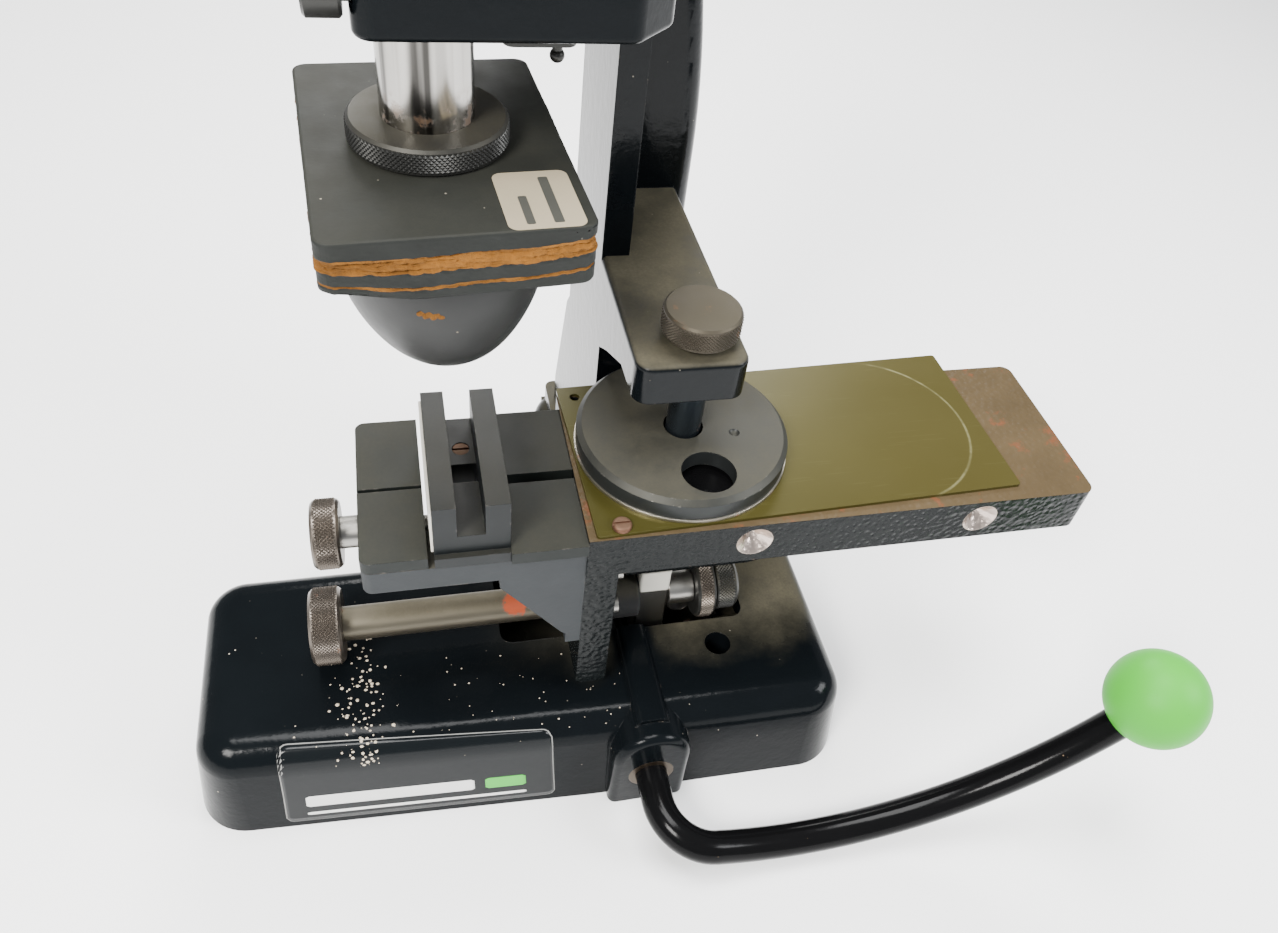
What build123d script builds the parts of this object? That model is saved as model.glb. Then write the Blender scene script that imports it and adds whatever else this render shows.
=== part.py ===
from build123d import *
import math
import os

# Hand-operated pad printing press for the bench.
# Millimetres, +X right, +Y back, +Z up. The origin is on the underside of the base, straight
# below the axis of the ram.

os.makedirs("parts", exist_ok=True)

# ---- driving dimensions ------------------------------------------------------------------

# base
base_left, base_right, base_back = -124.0, 191.0, 50.0
base_height = 54.0
base_draft = 7.0
base_wall = 7.0
tail_left, tail_right, tail_back = 56.0, 140.0, 178.0
cover_thickness = 2.0
window_left, window_right, window_front, window_back = 21.0, 145.0, -16.0, 35.0
ledge_bottom, ledge_top = 35.0, 42.0
bench_hole = (127.0, -31.0)
bench_hole_radius = 6.5

# lever, sector gear and rack
shaft_x, shaft_z = 85.0, 25.0
rod_radius = 7.6
lever_plane = -118.0
bend_radius = 24.0
arm_dip = 15.0
arm_radius = 170.0
arm_sweep_end = 61.0
ball_radius = 22.2
gear_module = 2.0
gear_teeth = 58
gear_y0, gear_y1 = 12.0, 20.0
carriage_travel = 100.0
running_gap = 0.05

# carriage
bed_left, bed_right, bed_front, bed_back = 51.5, 279.0, -49.0, 37.0
bed_bottom, bed_top = 143.0, 165.5
leg_left, leg_right, leg_bottom = 51.5, 65.5, 62.0
boss_right = 72.0
web_bottom = 95.2
plate_thickness = 1.5
plate_size = (190.5, 88.9)
plate_turn = 1.9

# guide rod
rod_y, rod_z = -9.0, 75.0
guide_radius = 8.0
stud_radius = 4.0
block_left, block_right = 87.5, 102.5

# fixture on the carriage
table_top = 164.0
rail_top, rail_bottom = 158.0, 146.0
cradle_left, cradle_right = -8.5, 21.0
cradle_front, cradle_back = -46.0, 19.0
vise_y, vise_z = -21.0, 153.0

# column, ink arm and head
column_front, column_back = 58.0, 150.0
arm_bottom, arm_top = 207.0, 225.0
ink_x, ink_y = 100.0, 0.0
head_bottom, head_top = 352.0, 454.0
head_floor = 374.0

# ram, pad and rocker
ram_radius = 14.3
ram_bottom, ram_top = 319.5, 444.0
ram_stroke = 40.0
pushrod_x, pushrod_y = 96.0, 135.0
rocker_reach = 75.0
rocker_z = 414.0
board_size = (80.0, 110.0)
board_turn = 4.0
board_top, board_bottom = 311.0, 295.0
pad_bottom = 230.0

# ---- helpers -----------------------------------------------------------------------------


def box(x0, x1, y0, y1, z0, z1):
    """A block between two opposite corners."""
    centre = ((x0 + x1) / 2, (y0 + y1) / 2, (z0 + z1) / 2)
    return Pos(*centre) * Box(x1 - x0, y1 - y0, z1 - z0)


def rod_along_x(x0, x1, y, z, radius):
    return Pos((x0 + x1) / 2, y, z) * Rot(0, 90, 0) * Cylinder(radius, x1 - x0)


def rod_along_y(y0, y1, x, z, radius):
    return Pos(x, (y0 + y1) / 2, z) * Rot(90, 0, 0) * Cylinder(radius, y1 - y0)


def rod_along_z(z0, z1, x, y, radius):
    return Pos(x, y, (z0 + z1) / 2) * Cylinder(radius, z1 - z0)


def outline(points):
    return make_face(Polyline(*points, close=True))


def slab_xz(points, y0, y1):
    """Extrude an outline given in X and Z between two Y values."""
    return extrude(Plane.XZ.offset(-y1) * outline(points), amount=y1 - y0)


def slab_yz(points, x0, x1):
    """Extrude an outline given in Y and Z between two X values."""
    return extrude(Plane.YZ.offset(x0) * outline(points), amount=x1 - x0)


def slab_xy(points, z0, z1, corner=0.0):
    """Extrude an outline given in X and Y between two Z values, with rounded corners."""
    face = outline(points)
    if corner:
        face = fillet(face.vertices(), corner)
    return extrude(Plane.XY.offset(z0) * face, amount=z1 - z0)


def vertical_edges(part):
    return part.edges().filter_by(Axis.Z)


def top_edges(part):
    return part.faces().sort_by(Axis.Z)[-1].outer_wire().edges()


def bottom_edges(part):
    return part.faces().sort_by(Axis.Z)[0].outer_wire().edges()


def knurled_disc_x(x0, x1, y, z, radius, bevel=1.0):
    """A disc along X with bevelled rims."""
    disc = rod_along_x(x0, x1, y, z, radius)
    return chamfer(disc.edges().filter_by(GeomType.CIRCLE), bevel)


def save(node, *solids):
    """Write one node; several solids stay separate."""
    part = solids[0] if len(solids) == 1 else Compound(children=list(solids))
    export_step(part, f"parts/{node}.step")


# ---- base --------------------------------------------------------------------------------

base_points = [
    (base_left, -65), (60, -74), (base_right, -76), (base_right, base_back),
    (tail_right, base_back), (tail_right, tail_back), (tail_left, tail_back),
    (tail_left, base_back), (base_left, base_back),
]
cavity_points = [
    (base_left + 14, -51), (base_right - 14, -60), (base_right - 14, base_back - 13),
    (tail_right - 13, base_back - 13), (tail_right - 13, tail_back - 13),
    (tail_left + 10, tail_back - 13), (tail_left + 10, base_back - 13),
    (base_left + 14, base_back - 13),
]
front_bushing = (-80.0, -56.0)
rear_bushing = (150.0, 166.0)
bushing_radius = 11.0
cover_screw_spots = [(-100, -36), (-100, 24), (167, -46), (167, 24), (118, 72), (118, 158)]
column_bolt_spots = [(78, 66), (78, 145), (122, 112), (122, 145)]


def rounded_base():
    face = outline(base_points)
    corners = face.vertices()
    inner = [v for v in corners if abs(v.Y - base_back) < 1 and tail_left - 1 < v.X < tail_right + 1]
    outer = [v for v in corners if v not in inner]
    face = fillet(outer, 24)
    inner = [v for v in face.vertices()
             if abs(v.Y - base_back) < 0.5 and (abs(v.X - tail_left) < 0.5 or abs(v.X - tail_right) < 0.5)]
    face = fillet(inner, 10)
    block = extrude(face, amount=base_height, taper=base_draft)
    return fillet(top_edges(block), 15)


def shaft_boss():
    """Arch-shaped boss on the front of the base, around the lever's shaft."""
    half, crown = 19.0, 36.0
    boss = box(shaft_x - half, shaft_x + half, -80, -50, 0, crown)
    boss += rod_along_y(-80, -40, shaft_x, crown, half)
    front = boss.faces().sort_by(Axis.Y)[0].outer_wire().edges()
    rim = [e for e in front if e.center().Z > 2]
    return fillet(rim, 4)


def shaft_ridge():
    """Low rib that runs back from the boss to the window."""
    ridge = slab_xz([(72, 46), (98, 46), (91, 57), (79, 57)], -70, window_front)
    return fillet([e for e in ridge.edges().filter_by(Axis.Y) if e.center().Z > 50], 4)


def cover_shape(inset, z0):
    """Outline of the bottom cover, set in from the edge of the base."""
    points = [
        (base_left + inset, inset - 64), (base_right - inset, inset - 75),
        (base_right - inset, base_back - inset), (tail_right - inset, base_back - inset),
        (tail_right - inset, tail_back - inset), (tail_left + inset, tail_back - inset),
        (tail_left + inset, base_back - inset), (base_left + inset, base_back - inset),
    ]
    return slab_xy(points, z0, cover_thickness, 16)


def base_casting():
    base = rounded_base() + shaft_boss() + shaft_ridge()
    base -= slab_xy(cavity_points, -1, base_height - base_wall, 10)
    base += box(shaft_x - 18, shaft_x + 18, -66, front_bushing[1], 0, base_height - base_wall)
    base += box(shaft_x - 18, shaft_x + 18, rear_bushing[0], tail_back - 10, 0, base_height - base_wall)
    base += box(block_left - 3, block_right + 3, -40, window_front, ledge_bottom, base_height - base_wall)
    for x, y in cover_screw_spots:
        base += rod_along_z(cover_thickness, base_height - base_wall, x, y, 7)
    base += rod_along_z(0, base_height - base_wall, *bench_hole, 12)
    window = slab_xy([(window_left, window_front), (window_right, window_front),
                      (window_right, window_back), (window_left, window_back)], 30, 60, 6)
    base -= window
    base -= box(pushrod_x - 10, pushrod_x + 10, pushrod_y - 10, pushrod_y + 10, 38, 60)
    base += box(block_left - 3, block_right + 3, window_front - 1, 9, ledge_bottom, ledge_top)
    base -= cover_shape(6.0, -1)
    base -= rod_along_z(-1, 60, *bench_hole, bench_hole_radius)
    base -= rod_along_y(front_bushing[0] - 1, front_bushing[1] + 1, shaft_x, shaft_z, bushing_radius)
    base -= rod_along_y(rear_bushing[0] - 1, rear_bushing[1], shaft_x, shaft_z, bushing_radius)
    for x, y in cover_screw_spots:
        base -= rod_along_z(0, 14, x, y, 2.0)
    for x, y in column_bolt_spots:
        base -= rod_along_z(40, 60, x, y, 3.2)
    return base


def countersink(x, y, clearance):
    """Flat-headed screw's cone, from the cover's underside to its inside."""
    cone = Cone(3.9 + clearance, 1.95 + clearance, cover_thickness)
    return Pos(x, y, cover_thickness / 2) * cone


def bottom_cover():
    cover = cover_shape(6.5, 0)
    cover -= rod_along_z(-1, 3, *bench_hole, 12.5)
    for x, y in cover_screw_spots:
        cover -= countersink(x, y, 0.1)
    return cover


def cover_screw(x, y):
    slot = box(x - 4, x + 4, y - 0.5, y + 0.5, -1, 0.9)
    return countersink(x, y, 0) + rod_along_z(cover_thickness, 12, x, y, 1.95) - slot


def shaft_bushing(y0, y1, flange_y0, flange_y1):
    bush = rod_along_y(y0, y1, shaft_x, shaft_z, bushing_radius)
    bush += rod_along_y(flange_y0, flange_y1, shaft_x, shaft_z, bushing_radius + 3)
    return bush - rod_along_y(y0 - 5, y1 + 5, shaft_x, shaft_z, rod_radius + running_gap)


# ---- lever -------------------------------------------------------------------------------

dip = math.radians(arm_dip)
bend_start = (shaft_x, lever_plane + bend_radius, shaft_z)
bend_middle = (shaft_x + bend_radius * (1 - math.sqrt(0.5)) * math.cos(dip),
               lever_plane + bend_radius * (1 - math.sqrt(0.5)),
               shaft_z - bend_radius * (1 - math.sqrt(0.5)) * math.sin(dip))
bend_end = (shaft_x + bend_radius * math.cos(dip), lever_plane, shaft_z - bend_radius * math.sin(dip))
arm_centre = (bend_end[0] + arm_radius * math.sin(dip), bend_end[2] + arm_radius * math.cos(dip))


def arm_point(angle):
    """A point on the arm's centre line; the angle is counted from its lowest point."""
    turn = math.radians(angle)
    return (arm_centre[0] + arm_radius * math.sin(turn), lever_plane,
            arm_centre[1] - arm_radius * math.cos(turn))


ball_centre = arm_point(arm_sweep_end)
rod_end_angle = arm_sweep_end - 3.0


def lever_rod():
    """One bent rod: the shaft through the base, the bend and the curved arm."""
    shaft = rod_along_y(bend_start[1], rear_bushing[1] - 1, shaft_x, shaft_z, rod_radius)
    bend = sweep(Plane(bend_start, z_dir=(0, -1, 0)) * Circle(rod_radius),
                 ThreePointArc(bend_start, bend_middle, bend_end))
    arm_path = ThreePointArc(bend_end, arm_point((rod_end_angle - arm_dip) / 2), arm_point(rod_end_angle))
    arm = sweep(Plane(bend_end, z_dir=(math.cos(dip), 0, -math.sin(dip))) * Circle(rod_radius), arm_path)
    return shaft + bend + arm


def ball_knob(rod):
    ball = Pos(*ball_centre) * Sphere(ball_radius)
    return ball - rod


def gear_flank(pitch_radius, base_radius, radius):
    """Angle between a tooth's centre line and its involute flank at the given radius."""
    backlash = 0.16
    half_pitch = (math.pi * gear_module / 4 - backlash / 2) / pitch_radius

    def roll(r):
        ratio = max(r / base_radius, 1.0)
        return math.sqrt(ratio * ratio - 1) - math.acos(1 / ratio)
    return half_pitch + roll(pitch_radius) - roll(radius)


def sector_gear():
    pitch_radius = gear_module * gear_teeth / 2
    base_radius = pitch_radius * math.cos(math.radians(20))
    root_radius = pitch_radius - 1.25 * gear_module
    tip_radius = pitch_radius + gear_module
    flank_radii = [root_radius, (root_radius + pitch_radius) / 2, pitch_radius, pitch_radius + 1.0, tip_radius]
    swing = math.degrees(carriage_travel / pitch_radius)
    pitch_angle = 360 / gear_teeth
    first = -round(11 / pitch_angle)
    last = round((swing + 11) / pitch_angle)

    def spot(radius, angle):
        return (shaft_x + radius * math.cos(angle), shaft_z + radius * math.sin(angle))

    rim = []
    for tooth in range(first, last + 1):
        middle = math.radians(90 - tooth * pitch_angle)
        for radius in flank_radii:
            rim.append(spot(radius, middle + gear_flank(pitch_radius, base_radius, radius)))
        for radius in reversed(flank_radii):
            rim.append(spot(radius, middle - gear_flank(pitch_radius, base_radius, radius)))
    spokes = [spot(12, math.radians(90 - last * pitch_angle - 12)),
              spot(12, math.radians(90 - first * pitch_angle + 12))]
    gear = slab_xz(rim + spokes, gear_y0, gear_y1)
    gear += rod_along_y(gear_y0, gear_y1 + 10, shaft_x, shaft_z, 15)
    middle = math.radians(90 - (first + last) / 2 * pitch_angle)
    for side in (-30, 0, 30):
        angle = middle + math.radians(side)
        gear -= rod_along_y(gear_y0 - 1, gear_y1 + 1, *spot(36, angle), 6.5)
    gear -= rod_along_y(gear_y0 - 1, gear_y1 + 11, shaft_x, shaft_z, rod_radius)
    gear -= rod_along_z(shaft_z, shaft_z + 20, shaft_x, gear_y1 + 5, 2.5)
    return gear


def shaft_collar():
    collar = rod_along_y(-52, -42, shaft_x, shaft_z, 14)
    return collar - rod_along_y(-53, -41, shaft_x, shaft_z, rod_radius)


def lift_cam():
    """Cam for the push rod: a round dwell with a lobe on its far side."""
    cam = rod_along_y(127, 139, shaft_x, shaft_z, 15)
    lobe = rod_along_y(127, 139, shaft_x - 6, shaft_z - 5, 10)
    return cam + lobe - rod_along_y(126, 140, shaft_x, shaft_z, rod_radius)


# ---- guide rod and its post --------------------------------------------------------------


def rod_block():
    """Post that holds the right end of the guide rod and carries the nylon shoe."""
    block = box(block_left, block_right, -14.5, 8, ledge_top, 81)
    block -= rod_along_x(block_left - 1, block_right + 1, rod_y, rod_z, stud_radius)
    return chamfer(vertical_edges(block), 0.8)


def slide_shoe():
    shoe = box(block_left, block_right, -14.5, 8, 81, web_bottom - 0.1)
    return fillet(vertical_edges(shoe), 1.2)


def guide_rod():
    rod = rod_along_x(-51, block_left, rod_y, rod_z, guide_radius)
    rod += rod_along_x(block_left, 139, rod_y, rod_z, stud_radius)
    rod += rod_along_x(-62, -51, rod_y, rod_z, 5)
    return rod


def guide_rod_knob():
    knob = knurled_disc_x(-65, -51, rod_y, rod_z, 17.5, 1.2)
    return knob - rod_along_x(-62, -50, rod_y, rod_z, 5)


def ring_on_stud(x0, x1, radius, bevel):
    ring = knurled_disc_x(x0, x1, rod_y, rod_z, radius, bevel)
    return ring - rod_along_x(x0 - 1, x1 + 1, rod_y, rod_z, stud_radius)


def rubber_bumper():
    bumper = rod_along_x(boss_right + 0.5, block_left, rod_y, rod_z, 12)
    bumper = fillet(bumper.edges().filter_by(GeomType.CIRCLE), 2)
    return bumper - rod_along_x(boss_right, 89, rod_y, rod_z, guide_radius)


# ---- carriage ----------------------------------------------------------------------------


rack_screw_spots = (82, 136, 190)
bracket_bolt_spots = ((-38, 108), (-38, 132))
plate_centre = (148.5, -0.5)
screw_spot = (-84.5, -40.5)
hole_spot = (-88.0, 37.5)


def plate_spot(x, y):
    """A point on the printing plate, which lies turned by a small angle."""
    turn = math.radians(plate_turn)
    return (plate_centre[0] + x * math.cos(turn) - y * math.sin(turn),
            plate_centre[1] + x * math.sin(turn) + y * math.cos(turn))


def carriage_casting():
    bed = box(bed_left, bed_right, bed_front, bed_back, bed_bottom, bed_top)
    bed = fillet(vertical_edges(bed).sort_by(Axis.X)[-2:], 5)
    leg = box(leg_left, leg_right, -48, 24, leg_bottom, bed_bottom)
    leg = fillet(leg.edges().filter_by(Axis.Y).sort_by(Axis.Z)[:2], 3)
    web = slab_xz([(leg_right, bed_bottom), (265, bed_bottom), (265, 126), (140, web_bottom),
                   (leg_right, web_bottom)], -14, -2)
    rear_web = box(leg_right, 200, 11, 23, 95.5, bed_bottom)
    boss = rod_along_x(leg_left, boss_right, rod_y, rod_z, 13)
    body = bed + leg + web + rear_web + boss
    body -= rod_along_x(leg_left - 1, boss_right + 1, rod_y, rod_z, 11)
    dimple = Cone(0.3, 7.8, 7.0, align=(Align.CENTER, Align.CENTER, Align.MAX))
    for x in (122, 226):
        body -= Pos(x, bed_front, 155) * Rot(90, 0, 0) * dimple
    body -= rod_along_z(bed_top - 8, bed_top + 1, *plate_spot(*screw_spot), 2.0)
    body -= rod_along_z(bed_top - 8, bed_top + 1, *plate_spot(*hole_spot), 2.0)
    for x in rack_screw_spots:
        body -= rod_along_z(95, 108, x, 17, 2.0)
    for y, z in bracket_bolt_spots:
        body -= rod_along_x(leg_left - 1, leg_right + 1, y, z, 2.6)
    return body


def cliche_plate():
    plate = Pos(*plate_centre, bed_top + plate_thickness / 2) * Rot(0, 0, plate_turn) * Box(
        *plate_size, plate_thickness)
    plate = fillet(vertical_edges(plate), 1.5)
    for spot in (screw_spot, hole_spot):
        plate -= rod_along_z(bed_top - 1, bed_top + 3, *plate_spot(*spot), 2.2)
    return plate


def cliche_screw():
    x, y = plate_spot(*screw_spot)
    top = bed_top + plate_thickness
    head = rod_along_z(top, top + 2.4, x, y, 4)
    head = fillet(top_edges(head), 1.4)
    slot = box(x - 5, x + 5, y - 0.6, y + 0.6, top + 1.4, top + 3)
    return head - slot + rod_along_z(bed_top - 7, top, x, y, 1.95)


def gear_rack():
    """Rack with its teeth down, in mesh with the sector gear when the carriage is at rest."""
    pitch = math.pi * gear_module
    pitch_z = shaft_z + gear_module * gear_teeth / 2
    tan20 = math.tan(math.radians(20))
    half = pitch / 4 - 0.08
    root_z, tip_z = pitch_z + 1.25 * gear_module, pitch_z - gear_module
    first = -2
    last = 2 + math.ceil(carriage_travel / pitch)
    points = []
    for tooth in range(first, last):
        middle = shaft_x + (tooth + 0.5) * pitch
        points += [(middle - half - (root_z - pitch_z) * tan20, root_z),
                   (middle - half + (pitch_z - tip_z) * tan20, tip_z),
                   (middle + half - (pitch_z - tip_z) * tan20, tip_z),
                   (middle + half + (root_z - pitch_z) * tan20, root_z)]
    right = points[-1][0] + 1
    left = points[0][0] - 1
    points = [(left, root_z)] + points + [(right, root_z), (right, 95.5), (left, 95.5)]
    rack = slab_xz(points, 12, 22)
    for x in rack_screw_spots:
        rack -= rod_along_z(80, 96, x, 17, 2.2)
        rack -= rod_along_z(80, 91, x, 17, 4.0)
    return rack


def rack_screw(x):
    head = rod_along_z(87.6, 91, x, 17, 3.6)
    return head + rod_along_z(91, 106, x, 17, 1.95) - rod_along_z(87, 89.4, x, 17, 1.6)


def slide_bushing(x0, x1):
    bush = rod_along_x(x0, x1, rod_y, rod_z, 11)
    return bush - rod_along_x(x0 - 1, x1 + 1, rod_y, rod_z, guide_radius + running_gap)


# ---- fixture on the carriage -------------------------------------------------------------

rail_screw_spots = (-2, 14, 34)
rail_screw_y = -34.0


def fixture_bracket():
    rail = box(-36.5, bed_left, -48, -28, rail_bottom, rail_top)
    rail = fillet(vertical_edges(rail).sort_by(Axis.X)[:2], 4)
    web = slab_xz([(16.5, rail_bottom), (leg_left, rail_bottom), (leg_left, 97), (43, 105), (16.5, 141)],
                  -48, -40)
    foot = box(45, leg_left, -48, -28, 97, rail_bottom)
    bracket = rail + web + foot
    for y, z in bracket_bolt_spots:
        bracket -= rod_along_x(40, leg_left + 1, y, z, 2.1)
    for x in rail_screw_spots:
        bracket -= rod_along_z(rail_bottom - 1, rail_top + 1, x, rail_screw_y, 2.2)
    return bracket


def bracket_bolt(y, z):
    head = rod_along_x(leg_right, leg_right + 4, y, z, 4.2)
    head -= rod_along_x(leg_right + 1.6, leg_right + 5, y, z, 2.0)
    return head + rod_along_x(41, leg_right, y, z, 2.05)


def fixed_jaw_block():
    block = box(cradle_right, bed_left, -50, 30, rail_top, table_top)
    block += box(cradle_right, bed_left, -27, 30, rail_bottom, rail_top)
    block -= box(cradle_right - 1, bed_left + 1, -12.5, -7.5, 150, table_top + 1)
    block -= box(cradle_right - 1, bed_left + 1, -14.5, -5.5, 150, 158)
    block -= rod_along_x(cradle_right - 1, 40, vise_y, vise_z, 4.05)
    block -= rod_along_z(150, table_top - 4, 34, rail_screw_y, 2.05)
    return block


def block_screw(x):
    """Screw from below that holds a piece down on the rail."""
    head = rod_along_z(rail_bottom - 3.5, rail_bottom, x, rail_screw_y, 3.6)
    head -= rod_along_z(rail_bottom - 4, rail_bottom - 1.6, x, rail_screw_y, 1.5)
    return head + rod_along_z(rail_bottom, table_top - 5, x, rail_screw_y, 2.0)


def moving_jaw_block():
    block = box(-36.5, -10.9, -48, 30, rail_top + 0.2, table_top)
    block = fillet(vertical_edges(block).sort_by(Axis.X)[:2], 4)
    block += box(-36.5, -10.9, -27.6, 30, rail_bottom, rail_top + 0.2)
    block -= box(-38, -10, -10.8, -9.2, table_top - 6, table_top + 1)
    block -= rod_along_x(-38, -10, vise_y, vise_z, 4.35)
    return block


def fixture_cradle():
    """U-shaped cradle between the two jaw blocks."""
    cradle = box(cradle_left, cradle_right, cradle_front, cradle_back, rail_top, 189)
    cradle += box(cradle_left, cradle_right, cradle_front - 2.5, cradle_front, rail_top, table_top - 0.5)
    cradle -= box(0.6, 11.4, cradle_front - 4, cradle_back + 1, 173, 190)
    cradle -= box(0.6, 11.4, -18, -8, 150, 174)
    cradle -= rod_along_z(165, 174, 6, 1, 3.6)
    cradle -= rod_along_z(150, 166, 6, 1, 2.0)
    for x in rail_screw_spots[:2]:
        cradle -= rod_along_z(150, 168, x, rail_screw_y, 2.05)
    return cradle


def cradle_screw():
    screw = rod_along_z(169.4, 172.8, 6, 1, 3.4) + rod_along_z(159, 169.4, 6, 1, 1.9)
    return screw - box(1, 11, 0.5, 1.5, 171.6, 174)


def vise_knob():
    knob = knurled_disc_x(-54.6, -43.6, vise_y, vise_z, 13.8, 1.0)
    return knob - rod_along_x(-52, -43, vise_y, vise_z, 3.5)


def vise_screw():
    screw = rod_along_x(-43.6, -36.9, vise_y, vise_z, 6.5)
    screw += rod_along_x(-36.9, 37, vise_y, vise_z, 4.0)
    return screw + rod_along_x(-52, -43.6, vise_y, vise_z, 3.5)


# ---- column ------------------------------------------------------------------------------

side_left, side_right = 72.0, 84.0
wall_front, wall_back = 112.0, 120.0
wall_right = 126.0
wall_thickness = 8.0
channel_right = wall_right - wall_thickness
lean_start, outer_lean, inner_lean = 240.0, 14.0, 12.0
spring_seat_z = 262.0
head_bolt_spots = [(78, 66), (78, 98), (100, 116)]
rear_screw_spots = [(80, 90), (122, 90), (80, 330), (113.8, 330)]


def right_flank(x, lean):
    """All that lies right of a line which runs straight up and then curves in by lean at its top."""
    top_z, far = head_bottom + 1, wall_right + 50
    line = Line((x, 0), (x, lean_start))
    line += TangentArc((x, lean_start), (x - lean, top_z), tangent=(0, 1))
    line += Polyline((x - lean, top_z), (far, top_z), (far, 0), (x, 0))
    return extrude(Plane.XZ.offset(-column_back - 10) * make_face(line), amount=80)


def column_casting():
    """Column with its left side web, rear channel and the arm that carries the ink pin."""
    side = slab_yz([
        (48, base_height), (column_back, base_height), (column_back, 80), (128, 150), (104, 180),
        (104, head_bottom), (column_front, head_bottom), (column_front, arm_bottom),
        (8, arm_bottom), (34, 193), (48, 184),
    ], side_left, side_right)
    channel = box(side_right - 6, wall_right, 104, column_back, base_height, head_bottom)
    channel -= box(side_right, wall_right + 1, 103, wall_front, base_height - 1, head_bottom + 1)
    channel -= right_flank(wall_right, outer_lean)
    front_right = [e for e in channel.edges()
                   if e.center().Y < wall_front + 1 and e.center().X > wall_right - 15 and e.length > 50]
    channel = fillet(front_right, 9)
    hollow = box(side_right, wall_right, wall_back, column_back + 1, base_height - 1, head_bottom + 1)
    channel -= hollow - right_flank(channel_right, inner_lean)
    arm = box(side_left, 118, -17, wall_front, arm_bottom, arm_top)
    arm = fillet(vertical_edges(arm).sort_by(Axis.Y)[:2], 7)
    arm = fillet([e for e in top_edges(arm) if e.center().Y < wall_front - 1], 2.5)
    foot = slab_xy([(side_left - 4, 60), (wall_right + 8, 88), (wall_right + 8, 164), (side_left - 4, 164)],
                   base_height, base_height + 9, 5)
    body = side + channel + arm + foot
    body += box(side_right - 1, channel_right + 1, wall_back - 1, 148, spring_seat_z, spring_seat_z + 8)
    body -= box(side_right, channel_right, wall_back, 148, base_height - 1, base_height + 20)
    body -= rod_along_z(spring_seat_z - 1, spring_seat_z + 9, pushrod_x, pushrod_y, 5 + running_gap)
    body -= rod_along_z(arm_bottom - 1, arm_top + 1, ink_x, ink_y, 7.5 + running_gap)
    for x, y in column_bolt_spots:
        body -= rod_along_z(base_height - 1, base_height + 26, x, y, 3.0)
    for x, z in rear_screw_spots:
        body -= rod_along_y(column_back - 9, column_back + 1, x, z, 1.7)
    for x, y in head_bolt_spots:
        body -= rod_along_z(head_bottom - 18, head_bottom + 1, x, y, 3.0)
    return body


def rear_cover():
    cover = box(side_right - 6, wall_right, column_back, column_back + 1.5, base_height + 10, head_bottom - 1)
    cover -= right_flank(wall_right, outer_lean)
    cover = fillet(cover.edges().filter_by(Axis.Y), 3)
    for x, z in rear_screw_spots:
        cover -= rod_along_y(column_back - 1, column_back + 3, x, z, 1.9)
    return cover


def rear_screw(x, z):
    head = rod_along_y(column_back + 1.5, column_back + 3.3, x, z, 3.2)
    head = fillet(head.faces().sort_by(Axis.Y)[-1].edges(), 1.0)
    slot = box(x - 4, x + 4, column_back + 2.5, column_back + 4, z - 0.4, z + 0.4)
    return head + rod_along_y(column_back - 8, column_back + 1.5, x, z, 1.65) - slot


def column_bolt(x, y):
    """Bolt from inside the base up into the column."""
    seat = base_height - base_wall
    head = rod_along_z(seat - 5, seat, x, y, 5) - rod_along_z(seat - 6, seat - 2.5, x, y, 2.5)
    return head + rod_along_z(seat, base_height + 25, x, y, 2.95)


# ---- head --------------------------------------------------------------------------------

head_points = [
    (-19.5, -28), (57, -28), (70, -15), (70, 40), (130, 54), (130, 158), (62, 158), (-19.5, 44),
]
head_corner = 6.0
head_inner = [(-16, -21), (63, -21), (63, 46), (123, 60), (123, 151), (66, 151), (-16, 41)]
cover_spots = [(-11, -23), (58, -18), (120, 64), (120, 148)]
ram_bushing_radius = 16.5
stop_y, stop_z = -22.5, 365.0
reach = math.hypot(pushrod_x, pushrod_y)
rocker_heading = math.degrees(math.atan2(pushrod_y, pushrod_x))
rocker_tilt = math.atan(ram_stroke / 2 / rocker_reach)
push_reach = reach - rocker_reach
pivot_x = rocker_reach * pushrod_x / reach
pivot_y = rocker_reach * pushrod_y / reach
ram_pin_z = rocker_z + rocker_reach * math.tan(rocker_tilt)
push_pin_z = rocker_z - push_reach * math.tan(rocker_tilt)


def across_rocker(side0, side1, along0, along1, z0, z1):
    """A block square to the rocker, centred on its pivot."""
    return Pos(pivot_x, pivot_y) * Rot(0, 0, rocker_heading) * box(along0, along1, side0, side1, z0, z1)


def pivot_rod(side0, side1, radius):
    """A round bar along the rocker's pivot axis."""
    return Pos(pivot_x, pivot_y) * Rot(0, 0, rocker_heading) * rod_along_y(side0, side1, 0, rocker_z, radius)


def pin_across(x, y, z, length, radius):
    """A cross pin square to the rocker."""
    return Pos(x, y) * Rot(0, 0, rocker_heading) * rod_along_y(-length / 2, length / 2, 0, z, radius)


def notch_for_rocker(x, y, z0, z1, half_length, half_width):
    """A block square to the rocker, centred on a rod."""
    block = box(-half_length, half_length, -half_width, half_width, z0, z1)
    return Pos(x, y) * Rot(0, 0, rocker_heading) * block


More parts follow.
